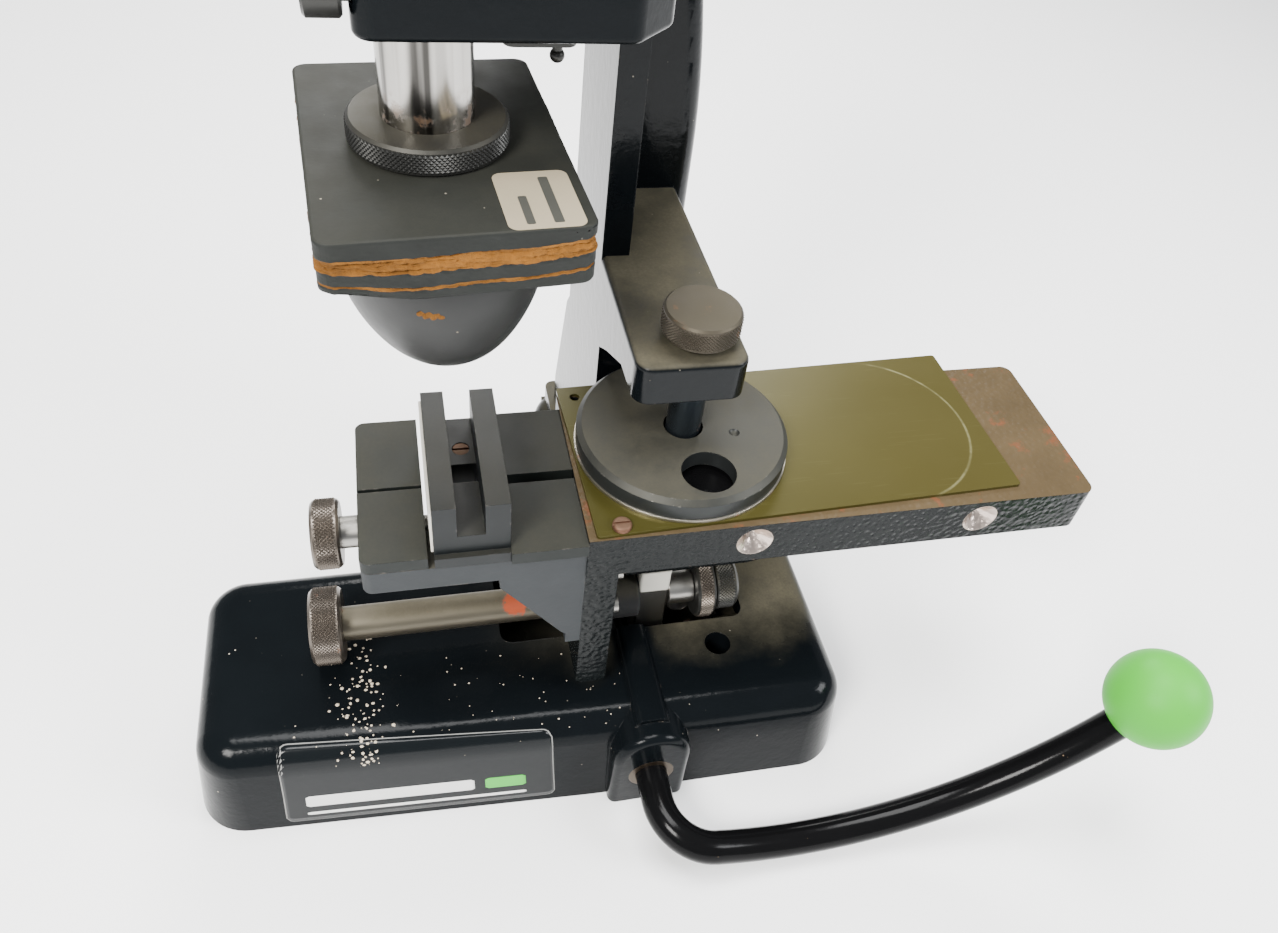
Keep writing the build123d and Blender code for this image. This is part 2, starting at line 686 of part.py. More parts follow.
def head_casting():
    head = slab_xy(head_points, head_bottom, head_top, head_corner)
    head = fillet(bottom_edges(head), 2)
    head -= slab_xy(head_inner, head_floor, head_top + 1, 8)
    head -= rod_along_z(head_bottom - 1, head_floor + 1, 0, 0, ram_bushing_radius)
    head -= rod_along_z(head_bottom - 1, head_floor + 1, pushrod_x, pushrod_y, 7)
    for x, y in head_bolt_spots:
        head -= rod_along_z(head_bottom - 1, head_floor + 1, x, y, 3.3)
    for x, y in cover_spots:
        head += rod_along_z(head_floor, head_top, x, y, 4.5)
        head -= rod_along_z(head_top - 10, head_top + 1, x, y, 1.7)
    lug = across_rocker(-13, 13, -9, 9, head_floor - 2, rocker_z + 9)
    lug -= across_rocker(-7.5, 7.5, -10, 10, head_floor, rocker_z + 10)
    head += lug
    head -= pivot_rod(-14, 14, 5.0)
    head -= rod_along_x(-22, 0, stop_y, stop_z, 4.05)
    return head


def head_cover():
    cover = slab_xy(head_points, head_top, head_top + 4, head_corner)
    cover = fillet(top_edges(cover), 2)
    for x, y in cover_spots:
        cover -= rod_along_z(head_top - 1, head_top + 5, x, y, 2.0)
    return cover


def head_cover_screw(x, y):
    head = rod_along_z(head_top + 4, head_top + 6, x, y, 3.4)
    head = fillet(top_edges(head), 1.0)
    slot = box(x - 4, x + 4, y - 0.4, y + 0.4, head_top + 5.2, head_top + 7)
    return head + rod_along_z(head_top - 9, head_top + 4, x, y, 1.65) - slot


def head_bolt(x, y):
    seat = head_floor
    head = rod_along_z(seat, seat + 5, x, y, 5.0) - rod_along_z(seat + 2.5, seat + 6, x, y, 2.2)
    return head + rod_along_z(seat - 38, seat, x, y, 2.95)


def ram_bushing():
    bush = rod_along_z(head_bottom - 2, head_floor, 0, 0, ram_bushing_radius)
    bush += rod_along_z(head_bottom - 2, head_bottom, 0, 0, ram_bushing_radius + 3)
    return bush - rod_along_z(head_bottom - 3, head_floor + 1, 0, 0, ram_radius + running_gap)


def spring_plate():
    """Small steel plate under the head, with a hooked pin."""
    pin_x, pin_y = 37.0, -12.0
    plate = box(ram_bushing_radius + 4, pin_x + 4, -22, -4, head_bottom - 3, head_bottom)
    plate = fillet(vertical_edges(plate), 3)
    plate += rod_along_z(head_bottom - 9, head_bottom - 3, pin_x, pin_y, 1.5)
    return plate + Pos(pin_x, pin_y, head_bottom - 9.4) * Sphere(2.2)


def rocker_pin():
    return pivot_rod(-14, 14, 4.95)


def rocker_arm():
    """Straight rocker with a forked slot at each end, drawn tilted as it stands at rest."""
    arm = box(-rocker_reach - 12.5, push_reach + 12.5, -6, 6, -7, 7)
    arm = fillet(arm.edges().filter_by(Axis.Y), 6.9)
    arm -= rod_along_y(-7, 7, 0, 0, 5.0)
    for end, outward in ((-rocker_reach, -1), (push_reach, 1)):
        near, far = end - outward, end + 4.5 * outward
        arm -= box(min(near, far), max(near, far), -7, 7, -4.5, 4.5)
        arm -= rod_along_y(-7, 7, near, 0, 4.5) + rod_along_y(-7, 7, far, 0, 4.5)
    tilted = Rot(0, math.degrees(rocker_tilt), 0) * arm
    return Pos(pivot_x, pivot_y, rocker_z) * Rot(0, 0, rocker_heading) * tilted


def stop_knob():
    """Knurled screw in the head's left side that sets the depth of the stroke."""
    knob = knurled_disc_x(-31, -21, stop_y, stop_z, 8, 0.8)
    return knob + rod_along_x(-21, -4, stop_y, stop_z, 3.95)


# ---- ram, nut and pad --------------------------------------------------------------------


def ram():
    ram = rod_along_z(ram_bottom, ram_top, 0, 0, ram_radius)
    ram = chamfer(top_edges(ram), 1.0)
    ram += rod_along_z(board_top - 7.5, ram_bottom, 0, 0, 9.0)
    ram -= notch_for_rocker(0, 0, ram_pin_z - 12, ram_top + 1, 16, 7)
    return ram - pin_across(0, 0, ram_pin_z, 40, 4.0)


def ram_nut():
    nut = rod_along_z(board_top, ram_bottom, 0, 0, 24.5)
    nut = chamfer(nut.edges().filter_by(GeomType.CIRCLE), 0.9)
    return nut - rod_along_z(board_top - 1, ram_bottom + 1, 0, 0, 9.0 + running_gap)


def pad_layer(z0, z1):
    layer = Pos(1.5, 0, (z0 + z1) / 2) * Rot(0, 0, board_turn) * Box(*board_size, z1 - z0)
    return fillet(vertical_edges(layer), 5)


def pad_board_upper():
    return pad_layer(board_top - 8, board_top) - rod_along_z(300, board_top + 1, 0, 0, 12)


def pad_board_lower():
    return pad_layer(board_bottom, board_top - 8)


def pad_socket():
    """Threaded steel insert in the board, on the ram's spigot."""
    socket = rod_along_z(board_top - 8, board_top, 0, 0, 12)
    return socket - rod_along_z(300, board_top + 1, 0, 0, 9.0 + running_gap)


def silicone_pad():
    """Blunt dome of silicone rubber under the board."""
    half_x, half_y = 37.0, 46.0
    height = board_bottom - pad_bottom
    dome = scale(Sphere(1.0), by=(half_x, half_y, height - 6))
    dome = Pos(0, 0, board_bottom - 6) * dome
    dome &= box(-50, 50, -60, 60, pad_bottom - 1, board_bottom - 6)
    face = Ellipse(half_x, half_y)
    rim = extrude(Plane.XY.offset(board_bottom - 6) * face, amount=6)
    return Pos(1.5, 0, 0) * Rot(0, 0, board_turn) * (dome + rim)


collar_z = 162.0
roller_z = 45.6
roller_radius = 8.0


def pushrod():
    """Rod inside the column: a fork for the cam roller, a spring shoulder and a top clevis."""
    fork = box(pushrod_x - 6, pushrod_x + 6, pushrod_y - 8, pushrod_y + 8, 40, 60)
    fork -= box(pushrod_x - 7, pushrod_x + 7, pushrod_y - 4.6, pushrod_y + 4.6, 39, 54.5)
    rod = fork + rod_along_z(60, push_pin_z - 10, pushrod_x, pushrod_y, 5)
    rod += rod_along_z(collar_z - 5, collar_z, pushrod_x, pushrod_y, 10)
    rod += rod_along_y(pushrod_y - 8, pushrod_y + 8, pushrod_x, roller_z, 2.5)
    clevis = notch_for_rocker(pushrod_x, pushrod_y, push_pin_z - 14.5, push_pin_z + 7, 6, 10.5)
    clevis -= notch_for_rocker(pushrod_x, pushrod_y, push_pin_z - 10, push_pin_z + 8, 7, 7)
    return rod + clevis + pin_across(pushrod_x, pushrod_y, push_pin_z, 20, 4.0)


def follower_roller():
    roller = rod_along_y(pushrod_y - 4.2, pushrod_y + 4.2, pushrod_x, roller_z, roller_radius)
    return roller - rod_along_y(pushrod_y - 5, pushrod_y + 5, pushrod_x, roller_z, 2.5 + running_gap)


def return_spring():
    """Coil spring between the rod's shoulder and the fixed seat in the column."""
    wire, coil, turns = 0.9, 7.6, 7
    length = spring_seat_z - collar_z
    rise = length - 2 * wire - 0.6
    start = Pos(pushrod_x, pushrod_y, collar_z + wire + 0.3)
    path = start * Helix(rise / turns, rise, coil)
    section = Plane(path @ 0, z_dir=path % 0) * Circle(wire)
    return sweep(section, path, is_frenet=True)


# ---- ink cup -----------------------------------------------------------------------------

cup_radius = 45.6
plate_top = bed_top + plate_thickness
cup_top = plate_top + 11.0


def ink_pin():
    pin = rod_along_z(plate_top + 4.5, arm_top + 4, ink_x, ink_y, 7.5)
    pin = chamfer(bottom_edges(pin), 1.0)
    return pin + rod_along_z(arm_top + 4, arm_top + 10, ink_x, ink_y, 4.0)


def ink_knob():
    knob = rod_along_z(arm_top + 4, arm_top + 15, ink_x, ink_y, 15.5)
    knob = chamfer(knob.edges().filter_by(GeomType.CIRCLE), 0.9)
    return knob - rod_along_z(arm_top + 3, arm_top + 10, ink_x, ink_y, 4.0)


def ink_cup():
    """Ink cup that lies open side down on the printing plate."""
    cup = rod_along_z(plate_top + 1.6, cup_top, ink_x, ink_y, cup_radius)
    cup = chamfer(top_edges(cup), 2.2)
    cup -= rod_along_z(plate_top, plate_top + 3.4, ink_x, ink_y, 38)
    cup -= rod_along_z(plate_top + 3.9, cup_top + 1, ink_x, ink_y, 8.5)
    cup -= rod_along_z(plate_top, cup_top + 1, ink_x + 4, ink_y - 28.5, 11.5)
    return cup - Pos(ink_x + 21, ink_y - 7, cup_top + 1.2) * Sphere(2.6)


def doctor_ring():
    ring = rod_along_z(plate_top + 0.1, plate_top + 1.6, ink_x, ink_y, cup_radius + 0.6)
    return ring - rod_along_z(plate_top, plate_top + 2, ink_x, ink_y, 38)


# ---- build and write ---------------------------------------------------------------------

rod = lever_rod()

save("base_casting", base_casting())
save("bottom_cover", bottom_cover())
save("cover_screws", *[cover_screw(x, y) for x, y in cover_screw_spots])
save("shaft_bushings", shaft_bushing(*front_bushing, -56, -53), shaft_bushing(*rear_bushing, 147, 150))

save("rod_block", rod_block())
save("slide_shoe", slide_shoe())
save("guide_rod", guide_rod())
save("guide_rod_knob", guide_rod_knob())
save("rod_spacer", ring_on_stud(block_right, 115.5, 8, 0.5))
save("stop_disc", ring_on_stud(115.5, 124.7, 15.5, 1.0))
save("jam_nut", ring_on_stud(124.7, 137.2, 12.5, 1.5))
save("rubber_bumper", rubber_bumper())

save("column_casting", column_casting())
save("column_bolts", *[column_bolt(x, y) for x, y in column_bolt_spots])
save("rear_cover", rear_cover())
save("rear_cover_screws", *[rear_screw(x, z) for x, z in rear_screw_spots])
save("head_casting", head_casting())
save("head_bolts", *[head_bolt(x, y) for x, y in head_bolt_spots])
save("head_cover", head_cover())
save("head_cover_screws", *[head_cover_screw(x, y) for x, y in cover_spots])
save("ram_bushing", ram_bushing())
save("rocker_pin", rocker_pin())
save("spring_plate", spring_plate())
save("return_spring", return_spring())

save("carriage_casting", carriage_casting())
save("slide_bushings", slide_bushing(leg_left, 60.5), slide_bushing(63, boss_right))
save("gear_rack", gear_rack())
save("rack_screws", *[rack_screw(x) for x in rack_screw_spots])
save("cliche_plate", cliche_plate())
save("cliche_screw", cliche_screw())
save("fixture_bracket", fixture_bracket())
save("bracket_bolts", *[bracket_bolt(y, z) for y, z in bracket_bolt_spots])
save("fixed_jaw_block", fixed_jaw_block())
save("block_screws", *[block_screw(x) for x in rail_screw_spots])
save("fixture_cradle", fixture_cradle())
save("cradle_screw", cradle_screw())
save("moving_jaw_block", moving_jaw_block())
save("vise_screw", vise_screw())
save("vise_knob", vise_knob())

save("lever_rod", rod)
save("ball_knob", ball_knob(rod))
save("sector_gear", sector_gear())
save("shaft_collar", shaft_collar())
save("lift_cam", lift_cam())

save("ram", ram())
save("ram_cross_pin", pin_across(0, 0, ram_pin_z, 26, 3.95))
save("ram_nut", ram_nut())
save("pad_board_upper", pad_board_upper())
save("pad_board_lower", pad_board_lower())
save("pad_socket", pad_socket())
save("silicone_pad", silicone_pad())
save("rocker_arm", rocker_arm())
save("pushrod", pushrod())
save("follower_roller", follower_roller())

save("ink_pin", ink_pin())
save("ink_knob", ink_knob())
save("ink_cup", ink_cup())
save("doctor_ring", doctor_ring())
save("stop_knob", stop_knob())
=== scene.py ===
import math
import random

import bmesh
import bpy
from mathutils import Matrix, Vector, noise
from mathutils.bvhtree import BVHTree


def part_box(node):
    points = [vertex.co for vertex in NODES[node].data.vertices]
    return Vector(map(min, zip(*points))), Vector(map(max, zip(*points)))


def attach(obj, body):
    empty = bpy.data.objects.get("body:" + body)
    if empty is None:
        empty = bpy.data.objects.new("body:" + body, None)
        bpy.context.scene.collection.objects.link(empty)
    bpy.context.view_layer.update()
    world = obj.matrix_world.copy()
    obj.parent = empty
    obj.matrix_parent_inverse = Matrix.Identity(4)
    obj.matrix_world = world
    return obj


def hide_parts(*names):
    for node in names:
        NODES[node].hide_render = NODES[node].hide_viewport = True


# Looks of a hand-operated pad printing press: materials for the CAD nodes, knurled bands, the
# layered pad board, the silicone pad, the base's label film, and paint specks.
# Metres throughout, in the frame of the CAD model. MM turns millimetres into metres.

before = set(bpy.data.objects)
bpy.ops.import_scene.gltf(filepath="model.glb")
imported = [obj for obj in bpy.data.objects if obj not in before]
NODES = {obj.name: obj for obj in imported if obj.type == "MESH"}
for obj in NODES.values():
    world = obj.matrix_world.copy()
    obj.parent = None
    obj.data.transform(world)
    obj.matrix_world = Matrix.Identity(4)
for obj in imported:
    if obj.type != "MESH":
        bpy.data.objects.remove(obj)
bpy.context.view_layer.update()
MM = 0.001
random.seed(7)

# ---- shader helper -----------------------------------------------------------------------


class Shader:
    """One material with a Principled shader, and short calls that add nodes to it."""

    def __init__(self, name):
        self.material = bpy.data.materials.new(name)
        self.material.use_nodes = True
        self.nodes = self.material.node_tree.nodes
        self.links = self.material.node_tree.links
        self.nodes.clear()
        output = self.nodes.new("ShaderNodeOutputMaterial")
        self.surface = self.nodes.new("ShaderNodeBsdfPrincipled")
        self.links.new(self.surface.outputs[0], output.inputs[0])
        coords = self.nodes.new("ShaderNodeTexCoord")
        self.place = coords.outputs["Object"]
        self.normal = coords.outputs["Normal"]

    def feed(self, socket, value):
        """Links a node's output to a socket, or sets the socket's own value."""
        if isinstance(value, bpy.types.NodeSocket):
            self.links.new(value, socket)
        elif hasattr(socket.default_value, "__len__") and len(socket.default_value) == 4 and len(value) == 3:
            socket.default_value = (*value, 1.0)
        else:
            socket.default_value = value

    def set(self, name, value):
        self.feed(self.surface.inputs[name], value)

    def maths(self, operation, a, b=0.0, clamp=False):
        node = self.nodes.new("ShaderNodeMath")
        node.operation = operation
        node.use_clamp = clamp
        self.feed(node.inputs[0], a)
        self.feed(node.inputs[1], b)
        return node.outputs[0]

    def part(self, vector, letter):
        node = self.nodes.new("ShaderNodeSeparateXYZ")
        self.feed(node.inputs[0], vector)
        return node.outputs[letter]

    def distance(self, point):
        """Distance from a fixed point of the object."""
        node = self.nodes.new("ShaderNodeVectorMath")
        node.operation = "DISTANCE"
        self.feed(node.inputs[0], self.place)
        node.inputs[1].default_value = point
        return node.outputs["Value"]

    def noise(self, scale, detail=3.0, roughness=0.55, stretch=(1, 1, 1), distortion=0.0):
        place = self.place
        if stretch != (1, 1, 1):
            mapping = self.nodes.new("ShaderNodeMapping")
            mapping.inputs["Scale"].default_value = stretch
            self.feed(mapping.inputs["Vector"], place)
            place = mapping.outputs[0]
        node = self.nodes.new("ShaderNodeTexNoise")
        self.feed(node.inputs["Vector"], place)
        node.inputs["Scale"].default_value = scale
        node.inputs["Detail"].default_value = detail
        node.inputs["Roughness"].default_value = roughness
        node.inputs["Distortion"].default_value = distortion
        return node.outputs["Fac"]

    def cells(self, scale, smooth=False):
        node = self.nodes.new("ShaderNodeTexVoronoi")
        self.feed(node.inputs["Vector"], self.place)
        node.inputs["Scale"].default_value = scale
        if smooth:
            node.feature = "SMOOTH_F1"
        return node.outputs["Distance"]

    def step(self, value, low, high):
        """Goes from 0 at low to 1 at high; low may be the larger."""
        node = self.nodes.new("ShaderNodeMapRange")
        node.interpolation_type = "SMOOTHSTEP"
        self.feed(node.inputs["Value"], value)
        if low < high:
            node.inputs["From Min"].default_value = low
            node.inputs["From Max"].default_value = high
        else:
            node.inputs["From Min"].default_value = high
            node.inputs["From Max"].default_value = low
            node.inputs["To Min"].default_value = 1.0
            node.inputs["To Max"].default_value = 0.0
        return node.outputs["Result"]

    def mix(self, factor, a, b):
        """Mixes two colours."""
        node = self.nodes.new("ShaderNodeMix")
        node.data_type = "RGBA"
        self.feed(node.inputs["Factor"], factor)
        self.feed(node.inputs[6], a)
        self.feed(node.inputs[7], b)
        return node.outputs[2]

    def blend(self, factor, a, b):
        """Mixes two numbers."""
        node = self.nodes.new("ShaderNodeMix")
        self.feed(node.inputs[0], factor)
        self.feed(node.inputs[2], a)
        self.feed(node.inputs[3], b)
        return node.outputs[0]

    def soft_edges(self, radius):
        node = self.nodes.new("ShaderNodeBevel")
        node.samples = 3
        node.inputs["Radius"].default_value = radius
        return node.outputs[0]

    def edge_mask(self, radius):
        """1 along convex and concave edges, 0 on flats."""
        geometry = self.nodes.new("ShaderNodeNewGeometry")
        dot = self.nodes.new("ShaderNodeVectorMath")
        dot.operation = "DOT_PRODUCT"
        self.feed(dot.inputs[0], self.soft_edges(radius))
        self.feed(dot.inputs[1], geometry.outputs["True Normal"])
        return self.step(dot.outputs["Value"], 0.99, 0.80)

    def bump(self, height, distance, normal=None):
        node = self.nodes.new("ShaderNodeBump")
        node.inputs["Strength"].default_value = 1.0
        node.inputs["Distance"].default_value = distance
        self.feed(node.inputs["Height"], height)
        if normal is not None:
            self.feed(node.inputs["Normal"], normal)
        return node.outputs[0]


DUST = (0.112, 0.100, 0.066)
RUST = (0.16, 0.065, 0.028)


def finish_material(name, colour, rough, metal=0.0, vary=0.18, vary_scale=45.0, gloss=0.2, coat=0.0, lumps=(),
                    edge=0.5, worn=None, worn_amount=0.0, dust=0.0, dust_gain=None, rust=0.0,
                    specks=0.0, speck_colour=(0.5, 0.45, 0.36), extra=None):
    """A material built from layers: base colour, worn edges, rust, dust on upper faces, specks.

    lumps is a list of (scale, depth in millimetres, smooth cells or not) for the surface relief.
    edge is the radius in millimetres that sharp edges are softened to.
    extra is a function that gets the shader, colour, roughness and metallic and returns the last three."""
    s = Shader(name)
    dark = tuple(c * (1 - vary) for c in colour)
    light = tuple(c * (1 + vary) for c in colour)
    tint = s.mix(s.noise(vary_scale, 5.0), dark, light)
    roughness = s.blend(s.noise(vary_scale * 2.3, 4.0), rough * 0.8, min(rough * 1.25, 1.0))
    metallic = metal
    if worn is not None:
        mask = s.maths("MULTIPLY", s.edge_mask(1.1 * MM), s.step(s.noise(240, 4), 0.62 - worn_amount, 0.70))
        tint = s.mix(mask, tint, worn)
        metallic = s.blend(mask, metal, 0.9)
    if rust:
        mask = s.step(s.noise(110, 8.0, 0.68), 0.66 - 0.22 * rust, 0.74 - 0.16 * rust)
        rusty = s.mix(s.noise(420, 4), tuple(c * 0.55 for c in RUST), tuple(c * 1.5 for c in RUST))
        tint = s.mix(mask, tint, rusty)
        roughness = s.blend(mask, roughness, 0.85)
        metallic = s.blend(mask, metallic, 0.0)
    if dust:
        up = s.step(s.part(s.normal, "Z"), 0.45, 0.97)
        patchy = s.blend(s.step(s.noise(26, 6.0, 0.62), 0.30, 0.66), 0.45, 1.0)
        fine = s.blend(s.noise(900, 2.0), 0.55, 1.0)
        mask = s.maths("MULTIPLY", s.maths("MULTIPLY", up, s.maths("MULTIPLY", patchy, fine)), dust)
        if dust_gain is not None:
            mask = s.maths("MULTIPLY", mask, dust_gain(s), clamp=True)
        tint = s.mix(mask, tint, DUST)
        roughness = s.blend(s.maths("MULTIPLY", mask, 1.6, clamp=True), roughness, 0.88)
    if specks:
        dots = s.step(s.cells(260), 0.10 + 0.02 * specks, 0.05)
        chance = s.step(s.noise(130, 2.0), 0.60, 0.66)
        tint = s.mix(s.maths("MULTIPLY", s.maths("MULTIPLY", dots, chance), min(specks, 1.0)), tint, speck_colour)
    if extra is not None:
        tint, roughness, metallic = extra(s, tint, roughness, metallic)
    s.set("Base Color", tint)
    s.set("Roughness", roughness)
    s.set("Metallic", metallic)
    s.set("Specular IOR Level", gloss)
    s.set("Coat Weight", coat)
    s.set("Coat Roughness", 0.06)
    normal = s.soft_edges(edge * MM) if edge else None
    for scale, depth, smooth in lumps:
        height = s.cells(scale, True) if smooth else s.noise(scale, 3.0)
        normal = s.bump(height, depth * MM, normal)
    if normal is not None:
        s.set("Normal", normal)
    return s.material


# ---- materials ---------------------------------------------------------------------------

ENAMEL_LUMPS = [(170, 0.11, False), (480, 0.05, False)]


def dusty_to_the_right(s):
    """The base's top is dusty round the window and at its right rear, clean on the left and in front."""
    across, depth = s.part(s.place, "X"), s.part(s.place, "Y")
    wander = s.maths("MULTIPLY", s.noise(30, 5.0), 45 * MM)
    behind = s.step(s.maths("ADD", depth, wander), -22 * MM, 12 * MM)
    off_ridge = s.step(s.maths("ABSOLUTE", s.maths("SUBTRACT", across, 85 * MM)), 8 * MM, 14 * MM)
    return s.maths("MULTIPLY", s.maths("MULTIPLY", s.step(across, 5 * MM, 110 * MM), behind), off_ridge)


def enamel(name, gloss=0.07, dust=0.55, dust_gain=None, worn_amount=0.0, specks=0.4, **more):
    return finish_material(name, (0.0030, 0.0040, 0.0048), 0.14, gloss=gloss, lumps=ENAMEL_LUMPS, edge=0.8,
                           worn=(0.10, 0.085, 0.07), worn_amount=worn_amount,
                           dust=dust, dust_gain=dust_gain, specks=specks, **more)


def plate_marks_and_painted_shade(s, tint, roughness, metallic):
    """A pale arc where the cup's rim stood, fine scratches along the stroke, and painted shade that darkens the plate
    towards its right end.
    """
    low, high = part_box("ink_cup")
    radius = (high.x - low.x) / 2
    centre = ((low.x + high.x) / 2 + 90 * MM, (low.y + high.y) / 2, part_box("cliche_plate")[1].z)
    away = s.maths("ABSOLUTE", s.maths("SUBTRACT", s.distance(centre), radius))
    arc = s.step(away, 0.9 * MM, 0.1 * MM)
    arc = s.maths("MULTIPLY", arc, s.blend(s.step(s.noise(120, 5), 0.40, 0.62), 0.35, 1.0))
    arc = s.maths("MULTIPLY", arc, s.step(s.part(s.place, "X"), centre[0] + 8 * MM, centre[0] + 25 * MM))
    tint = s.mix(s.maths("MULTIPLY", arc, 0.6), tint, (0.30, 0.29, 0.15))
    scratch = s.step(s.noise(900, 2.0, stretch=(0.05, 1.0, 1.0)), 0.64, 0.72)
    tint = s.mix(s.maths("MULTIPLY", scratch, 0.07), tint, (0.20, 0.19, 0.09))
    # Painted shade: the plate's colour is darkened towards its right end, a ramp of reflected light painted into the
    # colour.
    painted_shade_ramp = s.step(s.part(s.place, "X"), 0.07, 0.23)
    tint = s.mix(s.maths("MULTIPLY", painted_shade_ramp, 0.35), tint, (0.075, 0.061, 0.018))
    return tint, roughness, metallic


def paint_spot(s, tint, roughness, metallic):
    """A patch of orange-red paint on the guide rod."""
    low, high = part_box("guide_rod")
    point = (28 * MM, low.y + 5 * MM, high.z - 2 * MM)
    ragged = s.maths("ADD", s.distance(point), s.maths("MULTIPLY", s.noise(500, 4), 7 * MM))
    mask = s.step(ragged, 10.5 * MM, 8.5 * MM)
    return s.mix(mask, tint, (0.30, 0.055, 0.02)), roughness, s.blend(mask, metallic, 0.0)


def carriage_top(s, tint, roughness, metallic):
    """Bare brown steel on top of the bed; the sides keep their black wrinkle paint."""
    bed_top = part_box("cliche_plate")[0].z
    top = s.maths("MULTIPLY", s.step(s.part(s.normal, "Z"), 0.9, 0.99),
                  s.step(s.part(s.place, "Z"), bed_top - 0.4 * MM, bed_top - 0.2 * MM))
    steel = s.mix(s.noise(38, 6.0, 0.6), (0.038, 0.027, 0.013), (0.082, 0.057, 0.029))
    stain = s.step(s.noise(75, 7.0, 0.7), 0.56, 0.66)
    steel = s.mix(s.maths("MULTIPLY", stain, 0.7), steel, (0.125, 0.042, 0.018))
    tint, roughness = s.mix(top, tint, steel), s.blend(top, roughness, 0.42)
    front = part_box("carriage_casting")[0].y
    for x in (122, 226):
        cone = s.step(s.distance((x * MM, front, 155 * MM)), 8.0 * MM, 7.7 * MM)
        tint = s.mix(cone, tint, (0.55, 0.46, 0.40))
        roughness = s.blend(cone, roughness, 0.28)
        metallic = s.blend(cone, metallic, 1.0)
    return tint, roughness, metallic


def turned_streaks(s, tint, roughness, metallic):
    """Dark and bright streaks along the ram, and brown stains near its lower end."""
    streak = s.step(s.noise(115, 3.0, stretch=(1.0, 1.0, 0.02)), 0.42, 0.58)
    tint = s.mix(streak, (0.050, 0.048, 0.045), tint)
    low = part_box("ram_nut")[1].z
    stain = s.maths("MULTIPLY", s.step(s.part(s.place, "Z"), low + 14 * MM, low),
                    s.step(s.noise(150, 6.0, 0.65), 0.48, 0.62))
    tint = s.mix(s.maths("MULTIPLY", stain, 0.8), tint, (0.15, 0.085, 0.045))
    return tint, roughness, s.blend(stain, metallic, 0.3)


